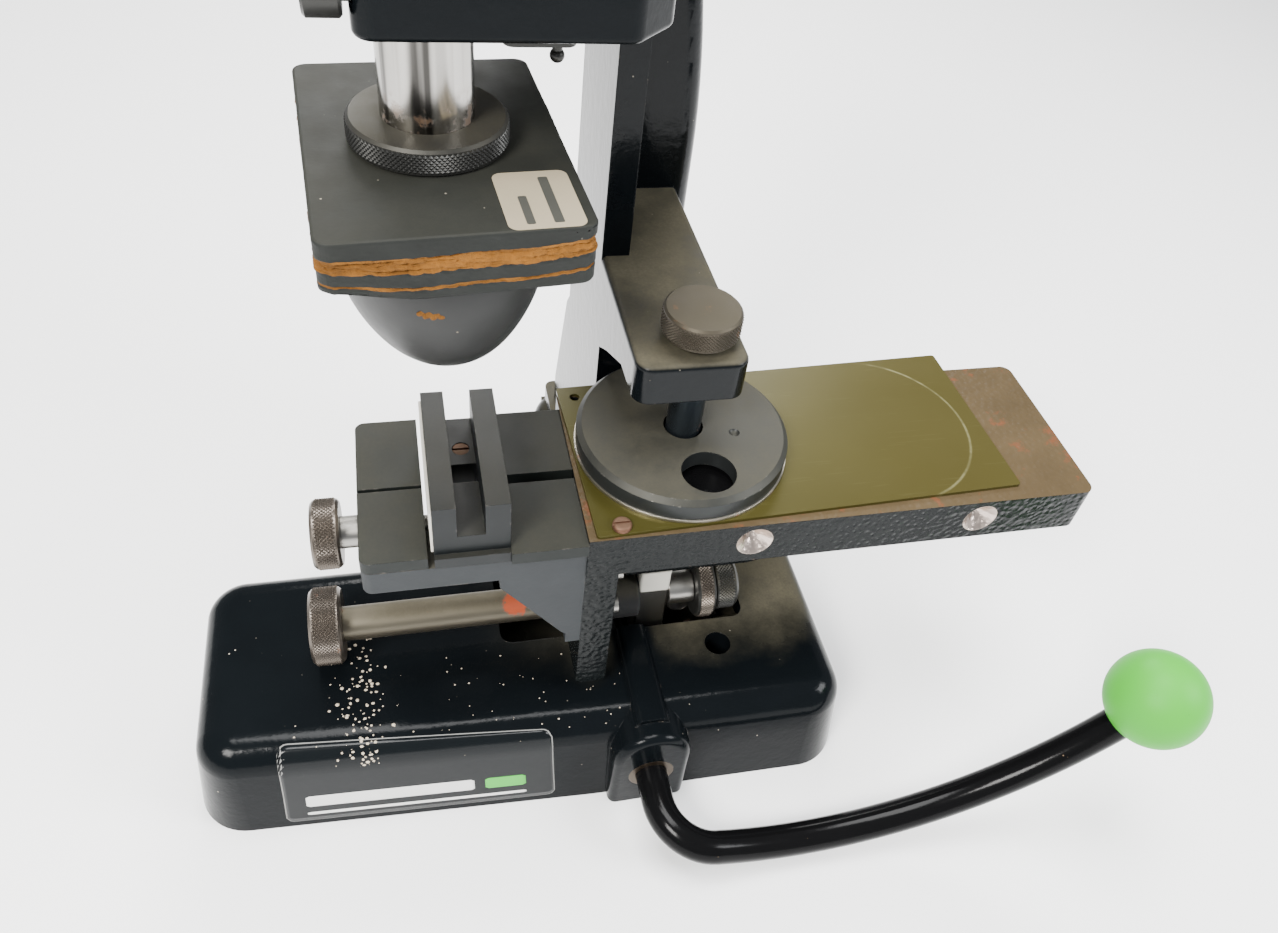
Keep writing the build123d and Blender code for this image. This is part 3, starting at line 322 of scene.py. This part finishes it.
def build_materials():
    made = {}
    made["base"] = enamel("base_enamel", dust=0.75, dust_gain=dusty_to_the_right, specks=0.8)
    made["column"] = enamel("column_enamel", gloss=0.13, dust=0.85)
    made["head"] = enamel("head_enamel", dust=0.4)
    made["lever"] = finish_material("lever_enamel", (0.0030, 0.0030, 0.0032), 0.15, gloss=0.08,
                                    lumps=[(320, 0.04, False)], edge=0.3, specks=1.4,
                                    speck_colour=(0.13, 0.09, 0.055))
    made["carriage"] = finish_material("carriage_wrinkle_paint", (0.0050, 0.0062, 0.0064), 0.24, gloss=0.10,
                                       lumps=[(430, 0.45, True), (900, 0.06, False)], edge=0.5,
                                       worn=(0.14, 0.10, 0.075), worn_amount=0.05, dust=0.5,
                                       extra=carriage_top)
    made["bracket"] = finish_material("bracket_paint", (0.015, 0.0178, 0.0200), 0.42, lumps=[(300, 0.08, False)],
                                      worn=(0.10, 0.09, 0.075), worn_amount=0.08, dust=0.6)
    made["blocks"] = finish_material("blackened_blocks", (0.0085, 0.0105, 0.0095), 0.5, metal=0.1,
                                     lumps=[(500, 0.03, False)], worn=(0.12, 0.11, 0.10),
                                     worn_amount=0.05, dust=0.20)
    made["cradle"] = finish_material("cradle_black", (0.0065, 0.0080, 0.0085), 0.42, metal=0.05,
                                     lumps=[(600, 0.02, False)], worn=(0.10, 0.095, 0.09),
                                     worn_amount=0.08, dust=0.16)
    made["plate"] = finish_material("olive_plate", (0.044, 0.039, 0.0085), 0.32, metal=0.3, vary=0.16,
                                    vary_scale=14, gloss=0.15, lumps=[(1500, 0.004, False)], edge=0.2,
                                    extra=plate_marks_and_painted_shade)
    made["cup"] = finish_material("cup_black_oxide", (0.019, 0.021, 0.021), 0.36, metal=0.35,
                                  lumps=[(700, 0.012, False)], worn=(0.22, 0.21, 0.19),
                                  worn_amount=0.03, dust=0.55)
    made["doctor"] = finish_material("doctor_ring_steel", (0.42, 0.39, 0.33), 0.32, metal=0.95,
                                     lumps=[(800, 0.02, False)], rust=0.35)
    made["oxide"] = finish_material("black_oxide", (0.036, 0.036, 0.034), 0.34, metal=0.7,
                                    lumps=[(700, 0.015, False)], edge=0.1, dust=0.45)
    made["rusty"] = finish_material("knurled_steel", (0.115, 0.098, 0.082), 0.30, metal=0.85, vary=0.35,
                                    lumps=[(500, 0.02, False)], rust=0.10, edge=0.1)
    made["ink_knob"] = finish_material("ink_knob_steel", (0.045, 0.038, 0.028), 0.40, metal=0.6,
                                       lumps=[(500, 0.02, False)], edge=0.2, rust=0.28, dust=0.45)
    made["steel"] = finish_material("machined_steel", (0.30, 0.29, 0.27), 0.30, metal=1.0,
                                    lumps=[(900, 0.01, False)], rust=0.25, dust=0.3)
    made["ram"] = finish_material("ram_steel", (0.40, 0.385, 0.36), 0.17, metal=1.0, vary=0.10,
                                  lumps=[(1400, 0.003, False)], edge=0.4, extra=turned_streaks)
    made["pin"] = finish_material("blued_pin_steel", (0.050, 0.062, 0.074), 0.28, metal=0.9,
                                  lumps=[(900, 0.006, False)], rust=0.2)
    made["guide"] = finish_material("dull_guide_steel", (0.110, 0.098, 0.074), 0.40, metal=0.85,
                                    lumps=[(400, 0.02, False)], dust=0.55, rust=0.15, extra=paint_spot)
    made["bronze"] = finish_material("old_bronze", (0.075, 0.055, 0.036), 0.34, metal=0.9,
                                     lumps=[(700, 0.01, False)], dust=0.3)
    made["nylon"] = finish_material("white_nylon", (0.62, 0.60, 0.53), 0.5, vary=0.07,
                                    lumps=[(500, 0.01, False)], dust=0.25)
    made["rubber"] = finish_material("black_rubber", (0.016, 0.016, 0.016), 0.7,
                                     lumps=[(900, 0.02, False)], dust=0.5)
    made["ball"] = finish_material("green_plastic", (0.045, 0.345, 0.020), 0.48, vary=0.06, vary_scale=22,
                                   lumps=[(700, 0.012, False), (60, 0.12, False)], edge=0, specks=0.3,
                                   speck_colour=(0.03, 0.16, 0.015))
    made["screws"] = finish_material("browned_screws", (0.115, 0.058, 0.036), 0.48, metal=0.6,
                                     lumps=[(800, 0.05, False)], rust=0.6, dust=0.3)
    made["board_face"] = finish_material("board_face", (0.0100, 0.0112, 0.0098), 0.62, vary=0.25,
                                         lumps=[(600, 0.035, False), (90, 0.10, False)], edge=0.5,
                                         dust=0.10, specks=0.6)
    made["board_fibre"] = finish_material("board_fibre", (0.150, 0.060, 0.009), 0.95, vary=0.85, vary_scale=120,
                                          lumps=[(380, 0.7, False), (1200, 0.2, False)], edge=0)
    made["silicone"] = finish_material("dark_silicone", (0.017, 0.0175, 0.017), 0.42, vary=0.2,
                                       lumps=[(420, 0.02, False)], edge=0, specks=1.0,
                                       speck_colour=(0.42, 0.35, 0.25))
    made["ink"] = finish_material("black_ink", (0.0025, 0.0025, 0.0027), 0.25, gloss=0.1, vary=0.1, edge=0)
    made["film"] = finish_material("label_film", (0.0040, 0.0052, 0.0060), 0.16, gloss=0.16, vary=0.1,
                                   lumps=[(90, 0.10, False)], edge=0, specks=0.5)
    made["film_rim"] = finish_material("label_rim", (0.20, 0.20, 0.19), 0.4, vary=0.3, vary_scale=200, edge=0)
    made["white_ink"] = finish_material("white_ink", (0.72, 0.72, 0.70), 0.4, vary=0.08, edge=0)
    made["green_ink"] = finish_material("green_ink", (0.06, 0.42, 0.05), 0.4, vary=0.1, edge=0)
    made["paper"] = finish_material("cream_paper", (0.30, 0.255, 0.175), 0.65, vary=0.08, vary_scale=60,
                                    lumps=[(900, 0.01, False)], edge=0, dust=0.15)
    made["grey_ink"] = finish_material("grey_ink", (0.045, 0.045, 0.038), 0.6, vary=0.2, edge=0)
    made["splatter"] = finish_material("dried_paint", (0.55, 0.47, 0.36), 0.7, vary=0.25, vary_scale=300, edge=0)
    return made


MATERIAL = build_materials()

NODE_MATERIAL = {
    "base": "base_casting bottom_cover",
    "column": "column_casting rear_cover",
    "head": "head_casting head_cover",
    "lever": "lever_rod",
    "carriage": "carriage_casting",
    "bracket": "fixture_bracket",
    "blocks": "fixed_jaw_block moving_jaw_block",
    "cradle": "fixture_cradle",
    "plate": "cliche_plate",
    "cup": "ink_cup",
    "doctor": "doctor_ring",
    "oxide": "ram_nut jam_nut stop_disc stop_knob spring_plate",
    "rusty": "guide_rod_knob vise_knob",
    "ink_knob": "ink_knob",
    "ram": "ram",
    "pin": "ink_pin",
    "guide": "guide_rod",
    "bronze": "shaft_bushings ram_bushing slide_bushings",
    "nylon": "slide_shoe",
    "rubber": "rubber_bumper",
    "ball": "ball_knob",
    "screws": "cliche_screw cradle_screw",
    "board_face": "pad_board_upper pad_board_lower",
    "silicone": "silicone_pad",
}


def dress_cad_nodes():
    """Gives each CAD node its material; what has no line of its own is machined steel."""
    chosen = {node: key for key, names in NODE_MATERIAL.items() for node in names.split()}
    for name, node in NODES.items():
        mesh = node.data
        mesh.polygons.foreach_set("use_smooth", [True] * len(mesh.polygons))
        material = MATERIAL[chosen.get(name, "steel")]
        if not mesh.materials:
            mesh.materials.append(material)
        for index in range(len(mesh.materials)):
            mesh.materials[index] = material


dress_cad_nodes()

# ---- mesh helpers ------------------------------------------------------------------------


def new_piece(name, points, faces, body, materials, smooth=True, face_materials=None):
    """Makes a mesh object that rides on a body."""
    mesh = bpy.data.meshes.new(name)
    mesh.from_pydata([tuple(p) for p in points], [], faces)
    piece = bpy.data.objects.new(name, mesh)
    bpy.context.scene.collection.objects.link(piece)
    for key in materials:
        mesh.materials.append(MATERIAL[key])
    if face_materials:
        mesh.polygons.foreach_set("material_index", face_materials)
    mesh.polygons.foreach_set("use_smooth", [smooth] * len(mesh.polygons))
    mesh.validate()
    mesh.update()
    bm = bmesh.new()
    bm.from_mesh(mesh)
    bmesh.ops.recalc_face_normals(bm, faces=bm.faces)
    bm.to_mesh(mesh)
    bm.free()
    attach(piece, body)
    return piece


def grid_faces(rows, columns, closed=False):
    """Quads between rows of points; closed joins the last column to the first."""
    faces = []
    for row in range(rows - 1):
        for column in range(columns if closed else columns - 1):
            after = (column + 1) % columns
            a, b = row * columns, (row + 1) * columns
            faces.append((a + column, a + after, b + after, b + column))
    return faces


def thicken(piece, depth):
    """Turns an open sheet into a thin closed one."""
    modifier = piece.modifiers.new("thickness", "SOLIDIFY")
    modifier.thickness = depth
    modifier.offset = 1.0


# ---- knurled bands -----------------------------------------------------------------------


def knurled_band(name, axis, centre, radius, start, end, body, material, pitch=1.35, height=0.42):
    """A closed band of small pyramids round a knob. Lengths in millimetres.

    Peaks and valleys alternate like a chessboard, and every diagonal joins two valleys."""
    around = 2 * round(math.tau * radius / pitch)
    rows = 2 * round((end - start) / pitch)
    points = []

    def place(turn, reach, along):
        across, upward = reach * math.cos(turn), reach * math.sin(turn)
        if axis == "x":
            spot = (along, centre[0] + across, centre[1] + upward)
        else:
            spot = (centre[0] + across, centre[1] + upward, along)
        points.append(Vector(spot) * MM)

    for row in range(rows + 1):
        for column in range(around):
            peak = (row + column) % 2 == 0 and 0 < row < rows
            place(math.tau * column / around, radius + (height if peak else 0.03),
                  start + (end - start) * row / rows)
    for along in (start, end):
        for column in range(around):
            place(math.tau * column / around, radius - 0.3, along)
    faces = []
    for row in range(rows):
        for column in range(around):
            after = (column + 1) % around
            a, b = row * around + column, row * around + after
            c, d = (row + 1) * around + after, (row + 1) * around + column
            if (row + column) % 2 == 0:
                faces += [(a, b, d), (b, c, d)]
            else:
                faces += [(a, b, c), (a, c, d)]
    inner_start = (rows + 1) * around
    inner_end = inner_start + around
    last = rows * around
    for column in range(around):
        after = (column + 1) % around
        faces.append((column, after, inner_start + after, inner_start + column))
        faces.append((last + column, last + after, inner_end + after, inner_end + column))
        faces.append((inner_start + column, inner_start + after, inner_end + after, inner_end + column))
    return new_piece(name, points, faces, body, [material], smooth=False)


def knurl_node(node, axis, body, material, margin=1.3, pitch=1.35, height=0.42):
    """A knurled band round a whole disc-shaped CAD node."""
    low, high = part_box(node)
    low, high = low / MM, high / MM
    if axis == "x":
        centre = ((low.y + high.y) / 2, (low.z + high.z) / 2)
        radius, start, end = (high.z - low.z) / 2, low.x, high.x
    else:
        centre = ((low.x + high.x) / 2, (low.y + high.y) / 2)
        radius, start, end = (high.x - low.x) / 2, low.z, high.z
    return knurled_band(node + "_knurl", axis, centre, radius, start + margin, end - margin,
                        body, material, pitch, height)


knurl_node("guide_rod_knob", "x", "frame", "rusty", pitch=1.6, height=0.6)
knurl_node("vise_knob", "x", "vise_screw", "rusty", pitch=1.6, height=0.6)
knurl_node("stop_disc", "x", "frame", "rusty", pitch=1.6, height=0.6)
knurl_node("jam_nut", "x", "frame", "oxide", margin=2.0, pitch=1.6, height=0.6)
knurl_node("ink_knob", "z", "ink_pin", "ink_knob", pitch=1.45, height=0.5)
knurl_node("ram_nut", "z", "ram_nut", "oxide", margin=1.1, pitch=1.6, height=0.5)

# ---- pad board and silicone pad ----------------------------------------------------------

BOARD_TURN = math.radians(4.0)
BOARD_HALF = (40.0, 55.0)
BOARD_CENTRE = (1.5, 0.0)
BOARD_CORNER = 5.0
LAYER_SLANT = 0.035


def board_outline(count):
    """Points and outward directions round a rounded rectangle, in millimetres."""
    half_x, half_y = BOARD_HALF[0] - BOARD_CORNER, BOARD_HALF[1] - BOARD_CORNER
    sides = [(half_x, half_y, 0, 2 * half_x), (-half_x, half_y, 1, 2 * half_y),
             (-half_x, -half_y, 2, 2 * half_x), (half_x, -half_y, 3, 2 * half_y)]
    arc = math.pi / 2 * BOARD_CORNER
    total = 4 * (half_x + half_y) + 4 * arc
    outline = []
    for number in range(count):
        travel = total * number / count
        for corner_x, corner_y, quarter, side in sides:
            if travel < arc:
                turn = math.pi / 2 * quarter + travel / BOARD_CORNER
                outward = Vector((math.cos(turn), math.sin(turn)))
                outline.append((Vector((corner_x, corner_y)) + outward * BOARD_CORNER, outward))
                break
            travel -= arc
            if travel < side:
                outward = Vector((math.cos(math.pi / 2 * (quarter + 1)), math.sin(math.pi / 2 * (quarter + 1))))
                along = Vector((-outward.y, outward.x))
                start = Vector((corner_x, corner_y)) + outward * BOARD_CORNER
                outline.append((start + along * travel, outward))
                break
            travel -= side
    return outline


def board_swell(spot):
    """How much thicker the board has grown where its front has come apart, most near the middle."""
    front = min(max((5.0 - spot.y) / 50.0, 0.0), 1.0)
    across = min(max((spot.x + BOARD_HALF[0]) / 30.0, 0.0), 1.0)
    across = across * across * (3 - 2 * across)
    return 1.0 + front * across * (0.27 - 0.0012 * max(spot.x + 8.0, 0.0))


def pad_board():
    """Pressed board of dark sheets with torn brown fibre showing between them."""
    low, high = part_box("pad_board_lower")[0].z / MM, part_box("pad_board_upper")[1].z / MM
    # (height of the layer's lower side, rows, fibre or not, how far its edge wanders)
    layers = [(high - 4.6, 6, False, 0.10), (high - 8.8, 14, True, 0.95), (high - 12.4, 6, False, 0.14),
              (high - 13.3, 5, True, 0.7), (low, 5, False, 0.12)]
    count = 420
    outline = board_outline(count)
    turn = Matrix.Rotation(BOARD_TURN, 2)
    points, face_materials = [], []
    levels = [(high, -0.9, False, 0.0), (high - 0.25, -0.3, False, 0.0), (high - 0.8, -0.05, False, 0.05)]
    top = high - 0.8
    for bottom, rows, fibre, wander in layers:
        for row in range(1, rows + 1):
            height = top + (bottom - top) * row / rows
            levels.append((height, -0.35 if fibre and row < rows else -0.05, fibre, wander))
        top = bottom
    levels[-1] = (low, -0.3, False, 0.1)
    for level, (height, inset, fibre, wander) in enumerate(levels):
        for number, (spot, outward) in enumerate(outline):
            seat = Vector((spot.x * 0.11, spot.y * 0.11, height * (0.9 if fibre else 0.3)))
            rag = noise.fractal(seat, 0.9, 2.1, 4) * wander
            fringe = noise.noise(Vector((spot.x * 0.9, spot.y * 0.9, height * 1.5))) * wander * 0.5
            shift = min(inset + rag + fringe, 0.15 if not fibre else 0.35)
            flat = turn @ (spot + outward * shift)
            wave = 0.0
            if 3 < level < len(levels) - 2:
                wave = 0.9 * noise.noise(Vector((spot.x * 0.045, spot.y * 0.045, 3.0)))
                wave += 0.35 * noise.noise(Vector((spot.x * 0.4, spot.y * 0.4, 9.0)))
                wave += LAYER_SLANT * spot.x
            swollen = high - (high - height) * board_swell(spot)
            points.append(Vector((flat.x + BOARD_CENTRE[0], flat.y + BOARD_CENTRE[1], swollen + wave)) * MM)
    faces = grid_faces(len(levels), count, closed=True)
    for row in range(len(levels) - 1):
        face_materials += [1 if levels[row + 1][2] else 0] * count
    faces.append(tuple(range(count)))
    faces.append(tuple(range((len(levels) - 1) * count, len(levels) * count)))
    face_materials += [0, 0]
    board = new_piece("pad_board", points, faces, "pad", ["board_face", "board_fibre"],
                      smooth=False, face_materials=face_materials)
    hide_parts("pad_board_upper", "pad_board_lower")
    return board


def silicone_dome():
    """Printing pad: a blunt dome with a short skirt and a thin moulding bead."""
    low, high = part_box("silicone_pad")
    low, high = low / MM, high / MM
    half_x, half_y = 36.9, 45.9
    skirt = 6.0
    columns, rows = 120, 44
    points = []
    turn = Matrix.Rotation(BOARD_TURN, 2)
    for row in range(rows):
        if row < 6:
            height = high.z - 0.05 - skirt * row / 5
            reach = 1.0 + (0.004 if row == 4 else 0.0)
        else:
            angle = (row - 5) / (rows - 5) * math.pi / 2
            height = high.z - skirt - (high.z - skirt - low.z) * math.sin(angle)
            reach = math.cos(angle)
        for column in range(columns):
            around = math.tau * column / columns
            sag = 1 + 0.006 * noise.noise(Vector((math.cos(around) * 2, math.sin(around) * 2, height * 0.06)))
            flat = turn @ Vector((half_x * reach * sag * math.cos(around), half_y * reach * sag * math.sin(around)))
            points.append(Vector((flat.x + BOARD_CENTRE[0], flat.y + BOARD_CENTRE[1], height)) * MM)
    faces = grid_faces(rows, columns, closed=True)
    faces.append(tuple(range(columns)))
    tip = len(points)
    points.append(Vector((BOARD_CENTRE[0], BOARD_CENTRE[1], low.z)) * MM)
    last = (rows - 1) * columns
    for column in range(columns):
        faces.append((last + column, last + (column + 1) % columns, tip))
    pad = new_piece("printing_pad", points, faces, "pad", ["silicone"])
    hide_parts("silicone_pad")
    return pad


def fibre_chip():
    """Torn flake of board fibre stuck to the silicone below the board."""
    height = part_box("silicone_pad")[1].z / MM - 19.0
    half_x, half_y = 36.0, 44.8
    bm = bmesh.new()
    for number in range(9):
        x = -12.0 + 0.8 * number
        y = -half_y * math.sqrt(1 - (x / half_x) ** 2)
        flat = Matrix.Rotation(BOARD_TURN, 2) @ Vector((x, y))
        spot = Vector((flat.x + BOARD_CENTRE[0], flat.y + BOARD_CENTRE[1], height + 0.5 * math.sin(2.1 * number)))
        size = Matrix.Diagonal((0.9 + 0.3 * math.sin(number * 1.7), 0.45, 0.9 + 0.5 * math.sin(number * 0.4), 1.0))
        bmesh.ops.create_icosphere(bm, subdivisions=2, radius=MM,
                                   matrix=Matrix.Translation(spot * MM) @ size)
    mesh = bpy.data.meshes.new("fibre_chip")
    bm.to_mesh(mesh)
    bm.free()
    mesh.materials.append(MATERIAL["board_fibre"])
    chip = bpy.data.objects.new("fibre_chip", mesh)
    bpy.context.scene.collection.objects.link(chip)
    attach(chip, "pad")
    return chip


pad_board()
silicone_dome()
fibre_chip()


def flat_label(name, low, high, height, body, material, turn=0.0, corner=2.0, about=(0, 0), depth=0.12):
    """A thin rounded rectangle lying on a level face. Millimetres."""
    points = []
    steps = 8
    for centre_x, centre_y, quarter in ((high[0] - corner, high[1] - corner, 0), (low[0] + corner, high[1] - corner, 1),
                                        (low[0] + corner, low[1] + corner, 2), (high[0] - corner, low[1] + corner, 3)):
        for step in range(steps + 1):
            angle = math.pi / 2 * (quarter + step / steps)
            points.append(Vector((centre_x + corner * math.cos(angle), centre_y + corner * math.sin(angle))))
    rotation = Matrix.Rotation(turn, 2)
    spots = []
    for level in (0.02, depth):
        for point in points:
            flat = rotation @ (point - Vector(about)) + Vector(about)
            spots.append(Vector((flat.x, flat.y, height + level)) * MM)
    count = len(points)
    faces = [tuple(range(count)), tuple(range(count, 2 * count))] + grid_faces(2, count, closed=True)
    return new_piece(name, spots, faces, body, [material], smooth=False)


def board_label():
    """Cream sticker on the board, with two plain bars in place of its lettering."""
    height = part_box("pad_board_upper")[1].z / MM
    low, high = (17.5, -52.5), (41.0 - 0.5, -21.5)
    middle = (29.0, -37.0)
    turn = math.radians(4.0)
    flat_label("board_label", low, high, height, "pad", "paper", turn, 3.0, middle)
    flat_label("board_label_bar_long", (31.0, -50), (34.0, -25), height + 0.12, "pad", "grey_ink",
               turn, 0.6, middle, 0.05)
    flat_label("board_label_bar_short", (23.0, -50), (25.6, -35), height + 0.12, "pad", "grey_ink",
               turn, 0.6, middle, 0.05)


board_label()

# ---- label film on the base --------------------------------------------------------------

base_mesh = NODES["base_casting"].data
BASE_TREE = BVHTree.FromPolygons([v.co for v in base_mesh.vertices], [tuple(p.vertices) for p in base_mesh.polygons])
FILM_AXIS = Vector((0.0, -40.0, 14.0))


def front_spot(x, angle, lift):
    """Point on the outside of the base's front, seen along a ray towards a line inside it."""
    way = Vector((0.0, -math.cos(angle), math.sin(angle)))
    start = (Vector((x, FILM_AXIS.y, FILM_AXIS.z)) + way * 150.0) * MM
    hit, normal, _, _ = BASE_TREE.ray_cast(start, -way)
    if normal.dot(way) < 0:
        normal = -normal
    return hit + normal * lift * MM


def front_film(name, left, right, bottom, top, lift, material, corner=0.0):
    """A patch that follows the base's front. Left and right in millimetres; bottom and top as
    shares of the film's height. Its corners are rounded when corner, in millimetres, is given."""
    columns, rows = max(8, int((right - left) / 1.5)), 20
    tall = 62.0
    points = []
    for column in range(columns + 1):
        x = left + (right - left) * column / columns
        inset = 0.0
        near = min(x - left, right - x)
        if near < corner:
            inset = (corner - math.sqrt(max(corner ** 2 - (corner - near) ** 2, 0))) / tall
        share = (x + 83) / 122
        low_angle = math.radians(-21 + 4 * share)
        high_angle = math.radians(70 - 13 * share)
        for row in range(rows + 1):
            height = bottom + inset + (top - bottom - 2 * inset) * row / rows
            angle = low_angle + (high_angle - low_angle) * height
            slant = (0.5 - height) * 4.0 * (0.5 - share)
            points.append(front_spot(x - slant, angle, lift))
    faces = grid_faces(columns + 1, rows + 1)
    film = new_piece(name, points, faces, "frame", [material])
    thicken(film, 0.05 * MM)
    return film


front_film("base_label_rim", -83.6, 39.6, -0.005, 1.008, 0.06, "film_rim", corner=4.4)
front_film("base_label_film", -83.0, 39.0, 0.0, 1.0, 0.13, "film", corner=4.0)
front_film("base_label_bar_long", -74.0, 2.0, 0.24, 0.44, 0.20, "white_ink", corner=1.5)
front_film("base_label_bar_green", 7.0, 26.0, 0.24, 0.44, 0.20, "green_ink", corner=1.5)
front_film("base_label_bar_thin", -74.0, 26.0, 0.09, 0.135, 0.20, "white_ink", corner=0.5)

# ---- dried paint specks ------------------------------------------------------------------


def speck_cloud(name, spots, body):
    """Small flattened drops, joined into one mesh."""
    bm = bmesh.new()
    for point, normal, radius in spots:
        squash = Matrix.Diagonal((radius * random.uniform(0.8, 1.3), radius * random.uniform(0.8, 1.2),
                                  radius * 0.35, 1.0))
        turn = normal.to_track_quat("Z", "Y").to_matrix().to_4x4()
        bmesh.ops.create_icosphere(bm, subdivisions=1, radius=1.0, matrix=Matrix.Translation(point) @ turn @ squash)
    mesh = bpy.data.meshes.new(name)
    bm.to_mesh(mesh)
    bm.free()
    mesh.materials.append(MATERIAL["splatter"])
    mesh.polygons.foreach_set("use_smooth", [True] * len(mesh.polygons))
    piece = bpy.data.objects.new(name, mesh)
    bpy.context.scene.collection.objects.link(piece)
    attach(piece, body)
    return piece


def base_specks():
    """Cream drops below the guide rod's knob, dense in the middle and thin round it."""
    way = Vector((0.0, 0.55, -0.83)).normalized()
    spots = []
    for number in range(230):
        if number < 150:
            x, y = random.gauss(-46, 5.5), random.uniform(-72, 8)
            radius = random.uniform(0.25, 0.95)
        else:
            x, y = random.uniform(-75, 75), random.uniform(-74, -18)
            radius = random.uniform(0.15, 0.5)
        start = Vector((x, y, 54.0)) * MM - way * 0.1
        hit, normal, _, _ = BASE_TREE.ray_cast(start, way)
        if hit is None or hit.z < 4 * MM:
            continue
        if normal.dot(way) > 0:
            normal = -normal
        spots.append((hit, normal, radius * MM))
    return speck_cloud("base_paint_specks", spots, "frame")


base_specks()


def ink_pool():
    """Black ink on the plate, seen through the cup's filling hole."""
    low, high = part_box("ink_cup")
    plate_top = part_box("cliche_plate")[1].z / MM
    centre, reach = (low + high) / 2 / MM, (high.x - low.x) / 2 / MM - 9.0
    steps = 72
    points = []
    for height in (plate_top + 0.05, plate_top + 0.9):
        for step in range(steps):
            turn = math.tau * step / steps
            points.append(Vector((centre.x + reach * math.cos(turn), centre.y + reach * math.sin(turn), height)) * MM)
    faces = grid_faces(2, steps, closed=True) + [tuple(range(steps)), tuple(range(steps, 2 * steps))]
    return new_piece("ink_pool", points, faces, "ink_cup", ["ink"], smooth=False)


def cradle_liner():
    """White liner strip on the cradle's left side."""
    low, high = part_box("fixture_cradle")
    low, high = low / MM, high / MM
    left, right = low.x - 1.0, low.x - 0.02
    points = []
    steps = 24
    for row in range(steps + 1):
        along = low.y + 3.0 + (high.y - low.y - 6.0) * row / steps
        top = high.z - 2.0 + 0.5 * noise.noise(Vector((along * 0.2, 0, 0)))
        bulge = 0.25 * math.sin(math.pi * row / steps)
        for x, z in ((left - bulge * 0.5, 165.0), (left - bulge, top), (right, top), (right, 165.0)):
            points.append(Vector((x, along, z)) * MM)
    faces = grid_faces(steps + 1, 4, closed=True) + [(0, 1, 2, 3), tuple(4 * steps + k for k in (0, 1, 2, 3))]
    return new_piece("cradle_liner", points, faces, "carriage", ["nylon"], smooth=False)


cradle_liner()
ink_pool()

# ---- floor, light and camera -------------------------------------------------------------


def pale_floor():
    shader = Shader("pale_floor")
    shader.set("Base Color", shader.mix(shader.noise(3.0, 2.0), (0.955, 0.955, 0.95), (0.97, 0.97, 0.97)))
    shader.set("Roughness", 0.55)
    mesh = bpy.data.meshes.new("floor")
    far = 4.0
    mesh.from_pydata([(-far, -far, 0), (far, -far, 0), (far, far, 0), (-far, far, 0)], [], [(0, 1, 2, 3)])
    mesh.materials.append(shader.material)
    floor = bpy.data.objects.new("floor", mesh)
    bpy.context.scene.collection.objects.link(floor)


def soft_light(name, place, aim, size, watts, colour=(1, 1, 1)):
    data = bpy.data.lights.new(name, "AREA")
    data.shape = "RECTANGLE"
    data.size, data.size_y = size
    data.energy = watts
    data.color = colour
    light = bpy.data.objects.new(name, data)
    light.location = place
    light.rotation_euler = (Vector(aim) - Vector(place)).to_track_quat("-Z", "Y").to_euler()
    bpy.context.scene.collection.objects.link(light)


def studio():
    middle = (0.06, 0.0, 0.15)
    soft_light("key", (-0.75, -0.85, 1.25), middle, (0.5, 0.5), 55, (1.0, 0.98, 0.95))
    soft_light("fill", (1.25, -0.55, 0.95), middle, (0.6, 0.5), 26, (0.97, 0.98, 1.0))
    soft_light("back", (0.3, 1.35, 1.1), middle, (1.0, 0.4), 30, (1.0, 0.99, 0.97))
    soft_light("overhead", (0.0, 0.1, 1.9), middle, (1.0, 0.8), 60)
    world = bpy.data.worlds.new("studio")
    bpy.context.scene.world = world
    world.use_nodes = True
    background = world.node_tree.nodes["Background"]
    background.inputs[0].default_value = (0.90, 0.94, 1.0, 1.0)
    background.inputs[1].default_value = 0.55


def photo_camera():
    """Camera at the studied viewing angle: yaw to the right, tilt down and a small roll."""
    yaw, pitch, roll = (math.radians(a) for a in (17.918, 45.335, -8.118))
    forward = Vector((math.sin(yaw) * math.cos(pitch), math.cos(yaw) * math.cos(pitch), -math.sin(pitch)))
    level = Vector((math.cos(yaw), -math.sin(yaw), 0.0))
    down = forward.cross(level)
    right = level * math.cos(roll) + down * math.sin(roll)
    down = down * math.cos(roll) - level * math.sin(roll)
    data = bpy.data.cameras.new("camera")
    data.sensor_width = 36.0
    data.lens = 28.117
    camera = bpy.data.objects.new("camera", data)
    camera.matrix_world = Matrix.Translation((-0.012, -0.294, 0.467)) @ Matrix(
        (right, -down, -forward)).transposed().to_4x4()
    bpy.context.scene.collection.objects.link(camera)
    bpy.context.scene.camera = camera


pale_floor()
studio()
photo_camera()
